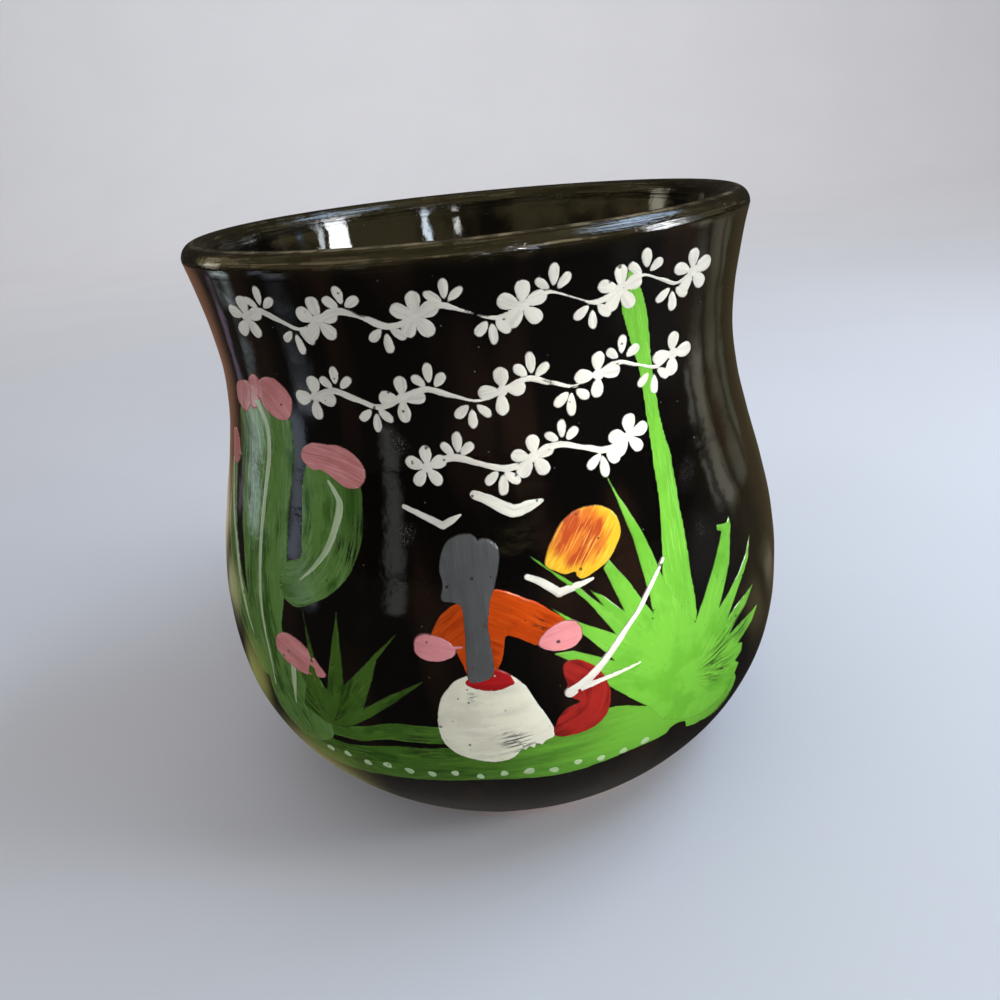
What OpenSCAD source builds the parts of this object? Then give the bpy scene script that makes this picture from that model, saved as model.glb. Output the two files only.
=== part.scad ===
// Jarrito clay mug: a thrown pot with a pulled strap handle, black glaze and a painted landscape.
// The foot rests on z = 0 with its centre at the origin, the painted face looks along -Y and
// the strap handle stands at +Y. A place on the wall is written as [azimuth, height share]:
// the azimuth runs from the middle of the painted face, towards +X where it is above zero.

/* [Pot] */
// Height of the pot, foot to crest of the lip
body_h = 100; // [94:0.5:110]
// Diameter over the lip
rim_d = 93.2; // [90:0.2:98]
// Diameter of the belly at its widest
belly_d = 106.8; // [101:0.2:114]
// Share of the height at which the belly is widest
belly_share = 0.325; // [0.29:0.005:0.37]
// Diameter of the neck at its narrowest
neck_d = 89; // [85:0.5:92]
// Share of the height at which the neck is narrowest
neck_share = 0.81; // [0.76:0.005:0.86]
// Diameter of the foot
foot_d = 74.8; // [68:0.2:82]
// Thickness of the wall and of the lip, glaze included
wall = 4.8; // [4.2:0.1:6]
// Thickness of the floor, glaze included
floor_t = 7.6; // [6:0.1:10]
// Bevel wiped round the foot
foot_bevel = 0.8; // [0.4:0.1:1.2]
// Fullness of the curve from foot to belly
foot_fullness = 2.3; // [1.8:0.1:3]
// How late the shoulder starts to draw in
shoulder_ease = 1.1; // [0.9:0.05:1.4]
// How late the rim starts to flare
rim_ease = 1.6; // [1.2:0.1:2.2]
// Squareness of the bowl's inner floor corner
bowl_square = 2.8; // [2.2:0.1:3.6]

/* [Glaze] */
// Thickness of the glaze coats
glaze_t = 0.45; // [0.3:0.05:0.7]
// Height of the bare clay strip above the table
bare_strip = 1.8; // [1.2:0.1:3]

/* [Handle] */
// Share of the height at which the strap leaves the neck
strap_top_share = 0.78; // [0.74:0.005:0.82]
// Share of the height at which the strap lands on the belly
strap_low_share = 0.36; // [0.32:0.005:0.42]
// How far the strap stands out past the belly
strap_reach = 30; // [26:0.5:34]
// Rise of the strap's shoulder above its upper root
strap_rise = 9; // [4:0.5:13]
// Drop of the strap's lower bend below its lower root
strap_drop = 3; // [0:0.5:6]
// Width of the strap at its upper root
strap_top_w = 20; // [16:0.5:24]
// Width of the strap at its lower root
strap_low_w = 15; // [12:0.5:19]
// Thickness of the strap at its upper root
strap_top_t = 9; // [7:0.5:11]
// Thickness of the strap at its lower root
strap_low_t = 7; // [5.5:0.5:9]
// Spread of the slip round the strap's roots
slip_spread = 2.4; // [1.6:0.1:3.2]
// Length of strap that the slip climbs
slip_climb = 7; // [5:0.5:9]
// Depth to which the strap is keyed into the neck and belly when both are still wet
root_depth = 2.6; // [2.2:0.1:3]

/* [Paint] */
// Thickness of the enamel paint
paint_t = 0.3; // [0.2:0.05:0.5]
// Gap left between neighbouring coats of paint
coat_gap = 0.05; // [0.03:0.01:0.1]
// Narrowest sliver of paint that the brush leaves
brush_tip = 0.3; // [0.2:0.05:0.5]
// Width of a white brush line
line_w = 1.2; // [0.9:0.1:1.6]
// Width of a vein on the cactus
vein_w = 0.9; // [0.7:0.1:1.3]
// Width of a leaf of the large agave
leaf_w = 5; // [4:0.2:6.5]
// Width of a leaf of the small agave
small_leaf_w = 3.8; // [3:0.2:5]
// Width of the cactus limb at the left
limb_w = 4.4; // [3.4:0.2:5.4]
// Length of a cactus blossom
blossom_l = 8.2; // [6.5:0.2:9.5]
// Width of the agave's flower stalk at its foot
stalk_w = 4.8; // [3.8:0.2:5.8]
// Width of the sun
sun_w = 11.4; // [9.5:0.2:13]
// Width of the head of hair on the seated figure
hair_w = 8; // [7:0.2:9]
// Width of its braid
braid_w = 3.6; // [3:0.1:4.2]
// Width of its hands
hand_w = 6; // [5:0.2:7]
// Diameter of a bloom on the borders
bloom_d = 6.2; // [5.2:0.1:7]
// Width of the stem of the borders
stem_w = 0.8; // [0.6:0.05:1.1]
// Diameter of a dot on the ground strip
dot_d = 1.3; // [1:0.1:1.7]

/* [Hidden] */
$fn = 180;

// Heights of the belly, the neck and the strap's two roots
belly_z = body_h * belly_share;
neck_z = body_h * neck_share;
strap_top_z = body_h * strap_top_share;
strap_low_z = body_h * strap_low_share;

// Radii of the pot, and the height at which the lip's rounding starts
foot_r = foot_d / 2;
belly_r = belly_d / 2;
neck_r = neck_d / 2;
rim_r = rim_d / 2;
lip_r = wall / 2;
lip_z = body_h - lip_r;

// Steps of the revolved outlines
wall_steps = 40;
lip_steps = 8;
bowl_steps = 18;

// Sides of the strap's section, squareness of it, and rings along its slip and its free length
strap_sides = 16;
strap_square = 2.4;
slip_rings = 6;
strap_rings = 18;

// Outlines of the paint: points between two chosen ones, and the middle of the painted face
curve_steps = 4;
oval_steps = 24;
leaf_steps = 6;
petal_steps = 10;
face_azimuth = -5;
// How far from the pot's axis paint can lie, with room to spare
painted_reach = belly_r + 2 * paint_t;

// Coats of paint from the last one laid on to the first
COATS = [
    "upper_border_paint", "middle_border_paint", "lower_border_paint", "ground_dots_paint",
    "staff_paint", "birds_paint", "sun_paint", "hair_paint", "hands_paint", "sash_paint",
    "sleeves_paint", "skirt_paint", "bundle_paint", "cactus_veins_paint", "cactus_blossoms_paint",
    "small_agave_paint", "cactus_paint", "agave_paint", "agave_stalk_paint", "ground_paint"
];

// Places on the wall, each [azimuth, height share]
ground_edge_share = [
    [-47, 0.30], [-41, 0.24], [-32, 0.205], [-20, 0.21], [0, 0.205], [18, 0.20], [32, 0.185],
    [40, 0.20], [43, 0.25], [36, 0.29], [26, 0.315], [14, 0.335], [0, 0.335], [-14, 0.335],
    [-24, 0.325], [-34, 0.31], [-42, 0.335]
];
column_edge_share = [
    [-46, 0.30], [-51, 0.37], [-54.5, 0.45], [-56.3, 0.55], [-56.8, 0.66], [-56, 0.75],
    [-51, 0.79], [-43, 0.79], [-38.3, 0.76], [-37.7, 0.70], [-39.3, 0.62], [-40.5, 0.55],
    [-41.5, 0.48], [-41.5, 0.40], [-39, 0.31]
];
pad_edge_share = [
    [-43, 0.50], [-37, 0.492], [-30, 0.513], [-25.4, 0.57], [-23, 0.63], [-23, 0.68],
    [-27, 0.71], [-33, 0.71], [-35.6, 0.67], [-36.3, 0.61], [-37.4, 0.565], [-42, 0.55]
];
limb_share = [[-63.8, 0.68], [-62.8, 0.58], [-59.8, 0.48], [-52, 0.37]];
vein_shares = [
    [[-46.8, 0.775], [-45.1, 0.73], [-45.7, 0.66], [-47.8, 0.58], [-48.5, 0.50], [-47.8, 0.41],
     [-46.8, 0.33]],
    [[-28.3, 0.675], [-27.3, 0.64], [-30.6, 0.59], [-36.6, 0.538]],
    [[-63.2, 0.65], [-62.2, 0.58], [-59.6, 0.49], [-53, 0.40]],
    [[-40.4, 0.385], [-41.8, 0.315]]
];
// Each blossom lobe: [azimuth, height share, tilt, length share, width share of its length]
blossom_shares = [
    [-53.2, 0.785, 20, 0.92, 0.62], [-41.4, 0.797, -28, 1, 0.52],
    [-32, 0.723, -10, 0.85, 0.58], [-25.8, 0.702, -18, 0.9, 0.6],
    [-38.6, 0.41, -16, 1.28, 0.36], [-62.4, 0.70, -25, 0.72, 0.5]
];
// Each leaf: [root azimuth, root height share, tip azimuth, tip height share, width share, bow]
small_agave_leaf_shares = [
    [-33, 0.30, -29.2, 0.503, 1.1, -0.02], [-33, 0.30, -18.6, 0.48, 1.25, 0.05],
    [-29, 0.295, -15.4, 0.40, 0.62, 0.03], [-34, 0.30, -35.6, 0.455, 0.75, 0.02],
    [-34, 0.30, -41, 0.40, 0.8, -0.04], [-35, 0.29, -24, 0.375, 1.3, 0]
];
agave_leaf_shares = [
    [26, 0.37, 17.6, 0.70, 0.95, 0.02], [26, 0.37, 16.6, 0.57, 1.05, -0.02],
    [25, 0.36, 4.4, 0.584, 0.62, 0.03], [25, 0.355, 8, 0.53, 0.6, 0.02],
    [24, 0.35, 3.2, 0.485, 0.62, 0.03], [24, 0.34, 7.6, 0.425, 0.66, 0.02],
    [25, 0.33, 11, 0.375, 0.8, 0],
    [30, 0.37, 44.4, 0.53, 0.8, 0.04], [31, 0.36, 51, 0.485, 0.72, 0.04],
    [32, 0.34, 52, 0.405, 0.74, 0.03], [32, 0.32, 50.5, 0.345, 0.76, 0.02],
    [31, 0.31, 46.5, 0.29, 0.9, 0], [30, 0.29, 42.5, 0.235, 0.95, 0]
];
// The heart of its fan: [azimuth, height share, tilt, length and width as shares of a leaf's width]
agave_heart_share = [28, 0.355, 70, 4.2, 3];
stalk_line_share = [[30, 0.47], [30.1, 0.60], [30, 0.72], [29, 0.83], [27.4, 0.90], [26, 0.94]];
stalk_width_shares = [1.15, 0.85, 0.66, 0.6, 0.85, 0.3];
sun_share = [13.3, 0.591];
sun_height_share = 0.76;
sun_tilt = 28;
bird_shares = [
    [[-16, 0.654], [-9, 0.636], [-6.2, 0.648]],
    [[-3.8, 0.676], [2.4, 0.648], [7.4, 0.657]],
    [[3.4, 0.557], [8.4, 0.527], [14, 0.538]]
];
bird_width_shares = [0.8, 1.3, 0.9];
bird_taper_shares = [0.7, 1.1, 0.5];
hair_share = [-5.3, 0.578];
hair_length_share = 1.15;
braid_share = [[-4.6, 0.56], [-5, 0.48], [-5.4, 0.408]];
sleeves_edge_share = [
    [-12.6, 0.477], [-10, 0.51], [-6.5, 0.535], [-2, 0.546], [3.5, 0.53], [9, 0.488],
    [6, 0.452], [3, 0.463], [-0.6, 0.475], [-1.6, 0.435], [-8.4, 0.435], [-9, 0.465]
];
// Each hand: [azimuth, height share, tilt, width share of its length]
hand_shares = [[-12.2, 0.463, 176, 0.74], [7.7, 0.464, 14, 0.74]];
sash_edge_share = [[-8, 0.421], [-5, 0.404], [-1, 0.402], [0.6, 0.409], [-2, 0.438], [-7, 0.438]];
skirt_edge_share = [
    [-13, 0.345], [-11.4, 0.385], [-8.4, 0.417], [-4, 0.425], [0.2, 0.41], [3.4, 0.37],
    [5.6, 0.31], [2, 0.284], [-4.6, 0.266], [-10, 0.278], [-12.7, 0.31]
];
bundle_edge_share = [
    [7.9, 0.418], [10.2, 0.429], [13.3, 0.405], [15, 0.365], [14.4, 0.327], [11.2, 0.302],
    [5.2, 0.304], [6.8, 0.343], [9.2, 0.362], [9.4, 0.385]
];
staff_shares = [
    [[26.8, 0.532], [21, 0.468], [13.6, 0.41], [7.8, 0.376]],
    [[20.3, 0.393], [13.5, 0.385], [7.6, 0.373]]
];
staff_width_shares = [1, 0.75];

// Width of a tapered stroke at its two ends, as shares of the brush's width
staff_taper_shares = [0.65, 1.4];
vein_taper_shares = [1.1, 0.5];
// A leaf: width share at its root, run share to its widest place, hollowness of its taper
leaf_root_share = 0.8;
leaf_swell_share = 0.3;
leaf_taper = 0.9;
// How much fuller a daub's blunt end is than its middle
daub_egg_share = 0.25;
// A bloom: its petals' place, length and width and its eye, as shares of its diameter
petal_place_share = 0.29;
petal_length_share = 0.42;
petal_width_share = 0.3;
eye_share = 0.25;
// The buds of a sprig: [lean, place, length] and their width, as shares of a bloom's diameter
bud_shares = [[-50, 0.3, 0.36], [0, 0.36, 0.42], [50, 0.3, 0.36]];
bud_width_share = 0.2;
// Each border row: [first azimuth, last azimuth, blooms, height share, petals, bloom size share]
border_shares = [
    [-43, 41, 6, 0.912, 5, 1], [-31, 37, 5, 0.805, 4, 1], [-11, 25, 3, 0.712, 5, 0.95]
];
// Rise of the stem's wave, and the run from its middle to a sprig as a share of the pitch
border_wave_share = 0.011;
sprig_step_share = 0.2;
// The row of dots: [first azimuth, last azimuth, dots, height share]
dots_row_share = [-36, 21, 15, 0.236];

// Radius of the glazed wall at a height
function outer_r(z) =
    z < belly_z ? foot_r + (belly_r - foot_r) * (1 - pow(1 - z / belly_z, foot_fullness)) :
    z < neck_z ? neck_r + (belly_r - neck_r) * (1 + cos(180 * shoulder_at(z))) / 2 :
    neck_r + (rim_r - neck_r) * pow(min(1, (z - neck_z) / (lip_z - neck_z)), rim_ease);
function shoulder_at(z) = pow((z - belly_z) / (neck_z - belly_z), shoulder_ease);

// Heights at which every outline of the wall has a point, so that coats lie face to face
wall_heights = [for (i = [0 : wall_steps]) bare_strip + (lip_z - bare_strip) * i / wall_steps];
bowl_heights = [for (i = [0 : wall_steps]) lip_z + (belly_z - lip_z) * i / wall_steps];

function flip(list) = [for (i = [len(list) - 1 : -1 : 0]) list[i]];
function wall_line(inset) = [for (z = wall_heights) [outer_r(z) - inset, z]];
function lip_arc(r, from, to) = [
    for (i = [0 : lip_steps])
        let (a = from + (to - from) * i / lip_steps)
        [rim_r - lip_r + r * cos(a), lip_z + r * sin(a)]
];
// The bowl from the lip down to the middle of its floor, drawn outwards by a depth into the clay
function bowl_line(depth) = concat(
    [for (z = bowl_heights) [outer_r(z) - wall + depth, z]],
    [for (i = [1 : bowl_steps])
        let (a = 90 * i / bowl_steps)
        [
            (belly_r - wall + depth) * (i < bowl_steps ? pow(cos(a), 2 / bowl_square) : 0),
            belly_z - (belly_z - floor_t + depth) * pow(sin(a), 2 / bowl_square)
        ]]
);

// The strap's middle line in the plane x = 0, as [y, z], from inside the neck to inside the belly
strap_start = [outer_r(strap_top_z) - glaze_t - root_depth, strap_top_z];
strap_end = [outer_r(strap_low_z) - glaze_t - root_depth, strap_low_z];
strap_mid_y = belly_r + strap_reach - (strap_top_t + strap_low_t) / 4;
strap_pull_y = (strap_mid_y - (strap_start[0] + strap_end[0]) / 8) * 4 / 3;
strap_pull = [
    strap_start, [strap_pull_y, strap_top_z + strap_rise],
    [strap_pull_y, strap_low_z - strap_drop], strap_end
];
function strap_at(t) =
    pow(1 - t, 3) * strap_pull[0] + 3 * t * pow(1 - t, 2) * strap_pull[1]
    + 3 * t * t * (1 - t) * strap_pull[2] + pow(t, 3) * strap_pull[3];
function strap_run(t) =
    3 * pow(1 - t, 2) * (strap_pull[1] - strap_pull[0])
    + 6 * t * (1 - t) * (strap_pull[2] - strap_pull[1]) + 3 * t * t * (strap_pull[3] - strap_pull[2]);
slip_reach = root_depth + slip_climb;
slip_start_t = slip_reach / norm(strap_run(0));
slip_end_t = slip_reach / norm(strap_run(1));
upper_stations = [for (i = [0 : slip_rings]) slip_start_t * i / slip_rings];
free_stations = [
    for (i = [1 : strap_rings - 1])
        slip_start_t + (1 - slip_start_t - slip_end_t) * i / strap_rings
];
lower_stations = [for (i = [0 : slip_rings]) 1 - slip_end_t + slip_end_t * i / slip_rings];
strap_stations = concat(upper_stations, free_stations, lower_stations);

// Spread of the slip at a station: full where the strap enters the wall, none where the slip ends
function slip_share(from_root) =
    from_root >= 1 ? 0 :
    min(1, pow((1 - from_root) * slip_reach / slip_climb, 2));
function slip_at(t) = slip_spread * slip_share(min(t / slip_start_t, (1 - t) / slip_end_t));

function signed_pow(v, e) = sign(v) * pow(abs(v), e);
// Ring of the strap's section at a station, grown by a margin all round
function strap_ring(t, margin) =
    let (
        at = strap_at(t),
        run = strap_run(t) / norm(strap_run(t)),
        half_w = (strap_top_w + (strap_low_w - strap_top_w) * t) / 2 + margin,
        half_t = (strap_top_t + (strap_low_t - strap_top_t) * t) / 2 + margin
    )
    [for (i = [0 : strap_sides - 1])
        let (
            a = 360 * (i + 0.5) / strap_sides,
            side = half_w * signed_pow(cos(a), 2 / strap_square),
            lift = half_t * signed_pow(sin(a), 2 / strap_square)
        )
        [side, at[0] - run[1] * lift, at[1] + run[0] * lift]];

// Faces between neighbouring rings, and over the first and the last ring
function ring_sides(rings, closed) = [
    for (k = [0 : closed ? rings - 1 : rings - 2], i = [0 : strap_sides - 1])
        let (
            j = (i + 1) % strap_sides,
            low = k * strap_sides,
            high = ((k + 1) % rings) * strap_sides
        )
        each [[low + i, low + j, high + j], [low + i, high + j, high + i]]
];
function end_faces(rings) = [
    [for (i = [strap_sides - 1 : -1 : 0]) i],
    [for (i = [0 : strap_sides - 1]) (rings - 1) * strap_sides + i]
];
module swept_solid(rings) {
    polyhedron(
        points = [for (ring = rings) each ring],
        faces = concat(ring_sides(len(rings), false), end_faces(len(rings)))
    );
}
// A sleeve: out along the outer rings and back along the inner ones
module swept_sleeve(outer_rings, inner_rings) {
    rings = concat(outer_rings, flip(inner_rings));
    polyhedron(
        points = [for (ring = rings) each ring],
        faces = ring_sides(len(rings), true)
    );
}

// Outline of the whole pot of bare clay, bowl filled in: what a strap is set against
module clay_envelope() {
    rotate_extrude()
        polygon(concat(
            [[0, 0]], [[outer_r(0) - glaze_t, 0]], wall_line(glaze_t), [[0, lip_z]]
        ));
}

module clay_body() {
    color([0.58, 0.30, 0.18])
        rotate_extrude()
            polygon(concat(
                [[0, 0], [outer_r(foot_bevel) - glaze_t - foot_bevel, 0]],
                [[outer_r(foot_bevel) - glaze_t, foot_bevel]],
                wall_line(glaze_t),
                lip_arc(lip_r - glaze_t, 0, 180),
                bowl_line(glaze_t)
            ));
}

module clay_handle() {
    color([0.58, 0.30, 0.18])
        difference() {
            swept_solid([for (t = strap_stations) strap_ring(t, 0)]);
            clay_envelope();
        }
}

// Slip smeared round a root: thick against the pot, feathered out along the strap
module slip_collar(stations) {
    difference() {
        swept_sleeve(
            [for (t = stations) strap_ring(t, slip_at(t))],
            [for (t = stations) strap_ring(t, 0)]
        );
        clay_envelope();
    }
}
module upper_slip_joint() {
    color([0.62, 0.34, 0.21]) slip_collar(upper_stations);
}
module lower_slip_joint() {
    color([0.62, 0.34, 0.21]) slip_collar(lower_stations);
}

module outer_glaze() {
    color([0.05, 0.045, 0.04])
        difference() {
            rotate_extrude()
                polygon(concat(
                    wall_line(0), lip_arc(lip_r, 0, 90),
                    flip(lip_arc(lip_r - glaze_t, 0, 90)), flip(wall_line(glaze_t))
                ));
            swept_solid([for (t = upper_stations) strap_ring(t, slip_at(t) + glaze_t)]);
            swept_solid([for (t = lower_stations) strap_ring(t, slip_at(t) + glaze_t)]);
        }
}

module inner_glaze() {
    color([0.07, 0.06, 0.05])
        rotate_extrude()
            polygon(concat(
                lip_arc(lip_r, 90, 180), bowl_line(0),
                flip(bowl_line(glaze_t)), flip(lip_arc(lip_r - glaze_t, 90, 180))
            ));
}

module handle_glaze() {
    color([0.05, 0.045, 0.04])
        difference() {
            swept_sleeve(
                [for (t = strap_stations) strap_ring(t, slip_at(t) + glaze_t)],
                [for (t = strap_stations) strap_ring(t, slip_at(t))]
            );
            clay_envelope();
        }
}

// A place on the wall laid flat on the painted face
function on_face(place) = [
    outer_r(place[1] * body_h) * sin(place[0] - face_azimuth), place[1] * body_h
];
function turned(v, a) = [v[0] * cos(a) - v[1] * sin(a), v[0] * sin(a) + v[1] * cos(a)];
// A point between p1 and p2 on a smooth curve that also heeds their neighbours
function between(p0, p1, p2, p3, t) =
    p1 + t * (p2 - p0) / 2 + t * t * (2 * p0 - 5 * p1 + 4 * p2 - p3) / 2
    + t * t * t * (3 * p1 - p0 - 3 * p2 + p3) / 2;
function smooth_loop(points) =
    let (n = len(points))
    [for (i = [0 : n - 1], k = [0 : curve_steps - 1])
        between(
            points[(i + n - 1) % n], points[i], points[(i + 1) % n], points[(i + 2) % n],
            k / curve_steps
        )];
function smooth_line(points) =
    let (last = len(points) - 1)
    concat(
        [for (i = [0 : last - 1], k = [0 : curve_steps - 1])
            between(
                points[max(0, i - 1)], points[i], points[i + 1], points[min(last, i + 2)],
                k / curve_steps
            )],
        [points[last]]
    );

// A patch whose edge runs smoothly through places on the wall
module patch(edge_share) {
    polygon(smooth_loop([for (place = edge_share) on_face(place)]));
}
// Widths of a stroke that tapers evenly between the shares at its two ends
function tapered(w, ends, count) =
    [for (i = [0 : count - 1]) w * (ends[0] + (ends[1] - ends[0]) * i / (count - 1))];
// A stroke of the brush through places on the wall, as wide at each as its width there
module stroke(line_share, widths) {
    line = smooth_line([for (place = line_share) on_face(place)]);
    last = len(line) - 1;
    function width_at(i) =
        let (at = i / curve_steps, k = min(floor(at), len(widths) - 2))
        widths[k] + (widths[k + 1] - widths[k]) * (at - k);
    function side_at(i) =
        let (run = line[min(last, i + 1)] - line[max(0, i - 1)])
        turned(run / norm(run), 90) * width_at(i) / 2;
    polygon(concat(
        [for (i = [0 : last]) line[i] + side_at(i)],
        [for (i = [last : -1 : 0]) line[i] - side_at(i)]
    ));
    for (i = [0, last])
        translate(line[i]) circle(width_at(i) / 2, $fn = petal_steps * 2);
}
// A leaf from a broad root to a sharp tip, bowed to one side by a share of its length
module leaf(root, tip, w, bow) {
    run = tip - root;
    across = turned(run / norm(run), 90);
    function middle(t) = root + run * t + across * (bow * norm(run) * sin(180 * t));
    function half(t) =
        w / 2 * (t < leaf_swell_share ?
            leaf_root_share + (1 - leaf_root_share) * t / leaf_swell_share :
            pow((1 - t) / (1 - leaf_swell_share), leaf_taper));
    polygon(concat(
        [for (i = [0 : leaf_steps]) middle(i / leaf_steps) + across * half(i / leaf_steps)],
        [for (i = [leaf_steps - 1 : -1 : 0]) middle(i / leaf_steps) - across * half(i / leaf_steps)]
    ));
}
module agave_leaves(shares, w) {
    for (s = shares)
        leaf(on_face([s[0], s[1]]), on_face([s[2], s[3]]), w * s[4], s[5]);
}
// An egg-shaped daub, blunt towards its turned +x end
module daub(middle, length, width, tilt, steps) {
    polygon([for (i = [0 : steps - 1])
        let (a = 360 * i / steps)
        middle
        + turned([length / 2 * cos(a), width / 2 * sin(a) * (1 + daub_egg_share * cos(a))], tilt)]);
}

module bloom(middle, d, petals) {
    for (i = [0 : petals - 1])
        daub(
            middle + turned([d * petal_place_share, 0], 90 + 360 * i / petals),
            d * petal_length_share, d * petal_width_share, 90 + 360 * i / petals, petal_steps
        );
    translate(middle) circle(d * eye_share / 2, $fn = petal_steps);
}
// Three buds that spring from the stem, above it and below it by turns
module sprig(middle, d, up) {
    for (s = bud_shares)
        daub(
            middle + turned([d * s[1], 0], 90 * up + s[0]),
            d * s[2], d * bud_width_share, 90 * up + s[0], petal_steps
        );
}
module border(row) {
    pitch = (row[1] - row[0]) / (row[2] - 1);
    d = bloom_d * row[5];
    function stem_place(a) = [a, row[3] + border_wave_share * sin(360 * (a - row[0]) / pitch)];
    for (i = [0 : row[2] - 1])
        bloom(on_face([row[0] + pitch * i, row[3]]), d, row[4]);
    for (i = [0 : row[2] - 2], side = [1, -1])
        sprig(on_face(stem_place(row[0] + pitch * (i + 0.5 - side * sprig_step_share))), d, side);
    for (i = [0 : row[2] - 2])
        stroke(
            [for (k = [0 : 4]) stem_place(row[0] + pitch * (i + k / 4))],
            [for (k = [0 : 4]) stem_w]
        );
}

// Every motif of the landscape, laid flat
module motif(name) {
    if (name == "ground_paint") patch(ground_edge_share);
    if (name == "cactus_paint") {
        patch(column_edge_share);
        patch(pad_edge_share);
        stroke(limb_share, [for (p = limb_share) limb_w]);
    }
    if (name == "cactus_veins_paint")
        for (line = vein_shares)
            stroke(line, tapered(vein_w, vein_taper_shares, len(line)));
    if (name == "cactus_blossoms_paint")
        for (s = blossom_shares)
            daub(on_face(s), blossom_l * s[3], blossom_l * s[3] * s[4], s[2], oval_steps);
    if (name == "small_agave_paint") agave_leaves(small_agave_leaf_shares, small_leaf_w);
    if (name == "agave_paint") {
        agave_leaves(agave_leaf_shares, leaf_w);
        heart = agave_heart_share;
        daub(on_face(heart), leaf_w * heart[3], leaf_w * heart[4], heart[2], oval_steps);
    }
    if (name == "agave_stalk_paint")
        stroke(stalk_line_share, stalk_width_shares * stalk_w);
    if (name == "sun_paint")
        daub(on_face(sun_share), sun_w, sun_w * sun_height_share, sun_tilt, oval_steps);
    if (name == "birds_paint")
        for (i = [0 : len(bird_shares) - 1])
            stroke(bird_shares[i], bird_taper_shares * (bird_width_shares[i] * line_w));
    if (name == "hair_paint") {
        daub(on_face(hair_share), hair_w * hair_length_share, hair_w, 90, oval_steps);
        stroke(braid_share, [for (place = braid_share) braid_w]);
    }
    if (name == "sleeves_paint") patch(sleeves_edge_share);
    if (name == "hands_paint")
        for (s = hand_shares) daub(on_face(s), hand_w, hand_w * s[3], s[2], oval_steps);
    if (name == "sash_paint") patch(sash_edge_share);
    if (name == "skirt_paint") patch(skirt_edge_share);
    if (name == "bundle_paint") patch(bundle_edge_share);
    if (name == "staff_paint")
        for (i = [0 : len(staff_shares) - 1])
            stroke(staff_shares[i], tapered(
                line_w * staff_width_shares[i], staff_taper_shares, len(staff_shares[i])
            ));
    if (name == "upper_border_paint") border(border_shares[0]);
    if (name == "middle_border_paint") border(border_shares[1]);
    if (name == "lower_border_paint") border(border_shares[2]);
    if (name == "ground_dots_paint")
        for (i = [0 : dots_row_share[2] - 1])
            translate(on_face([
                dots_row_share[0] + (dots_row_share[1] - dots_row_share[0]) * i / (dots_row_share[2] - 1),
                dots_row_share[3]
            ]))
                circle(dot_d / 2, $fn = petal_steps);
}

// The film that all the paint lies in, against the glaze
module paint_film() {
    rotate_extrude() polygon(concat(wall_line(-paint_t), flip(wall_line(0))));
}
// One coat: its motif, less every coat laid on after it
module coat(name, tint) {
    color(tint)
        intersection() {
            paint_film();
            rotate([90, 0, face_azimuth])
                linear_extrude(painted_reach)
                    offset(delta = brush_tip / 2)
                        offset(delta = -brush_tip / 2 - coat_gap / 2)
                            difference() {
                                motif(name);
                                for (i = [0 : 1 : search([name], COATS)[0] - 1]) motif(COATS[i]);
                            }
        }
}
module ground_paint() { coat("ground_paint", [0.13, 0.42, 0.09]); }
module cactus_paint() { coat("cactus_paint", [0.13, 0.33, 0.12]); }
module cactus_veins_paint() { coat("cactus_veins_paint", [0.66, 0.75, 0.52]); }
module cactus_blossoms_paint() { coat("cactus_blossoms_paint", [0.80, 0.46, 0.48]); }
module small_agave_paint() { coat("small_agave_paint", [0.16, 0.45, 0.08]); }
module agave_paint() { coat("agave_paint", [0.36, 0.76, 0.18]); }
module agave_stalk_paint() { coat("agave_stalk_paint", [0.44, 0.78, 0.26]); }
module sun_paint() { coat("sun_paint", [0.93, 0.66, 0.14]); }
module birds_paint() { coat("birds_paint", [0.88, 0.86, 0.80]); }
module hair_paint() { coat("hair_paint", [0.33, 0.34, 0.35]); }
module sleeves_paint() { coat("sleeves_paint", [0.80, 0.26, 0.05]); }
module hands_paint() { coat("hands_paint", [0.90, 0.55, 0.56]); }
module sash_paint() { coat("sash_paint", [0.72, 0.08, 0.07]); }
module skirt_paint() { coat("skirt_paint", [0.86, 0.83, 0.75]); }
module bundle_paint() { coat("bundle_paint", [0.62, 0.09, 0.07]); }
module staff_paint() { coat("staff_paint", [0.88, 0.86, 0.80]); }
module upper_border_paint() { coat("upper_border_paint", [0.85, 0.83, 0.78]); }
module middle_border_paint() { coat("middle_border_paint", [0.85, 0.83, 0.78]); }
module lower_border_paint() { coat("lower_border_paint", [0.85, 0.83, 0.78]); }
module ground_dots_paint() { coat("ground_dots_paint", [0.72, 0.80, 0.62]); }

clay_body();
clay_handle();
upper_slip_joint();
lower_slip_joint();
outer_glaze();
inner_glaze();
handle_glaze();
ground_paint();
cactus_paint();
cactus_veins_paint();
cactus_blossoms_paint();
small_agave_paint();
agave_paint();
agave_stalk_paint();
sun_paint();
birds_paint();
hair_paint();
sleeves_paint();
hands_paint();
sash_paint();
skirt_paint();
bundle_paint();
staff_paint();
upper_border_paint();
middle_border_paint();
lower_border_paint();
ground_dots_paint();
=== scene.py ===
"""Jarrito clay mug: thrown pot, strap handle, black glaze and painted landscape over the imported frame."""

import logging
import math
from dataclasses import dataclass, field
from enum import Enum

import bpy
import numpy as np
from mathutils import Matrix, Vector


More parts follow.
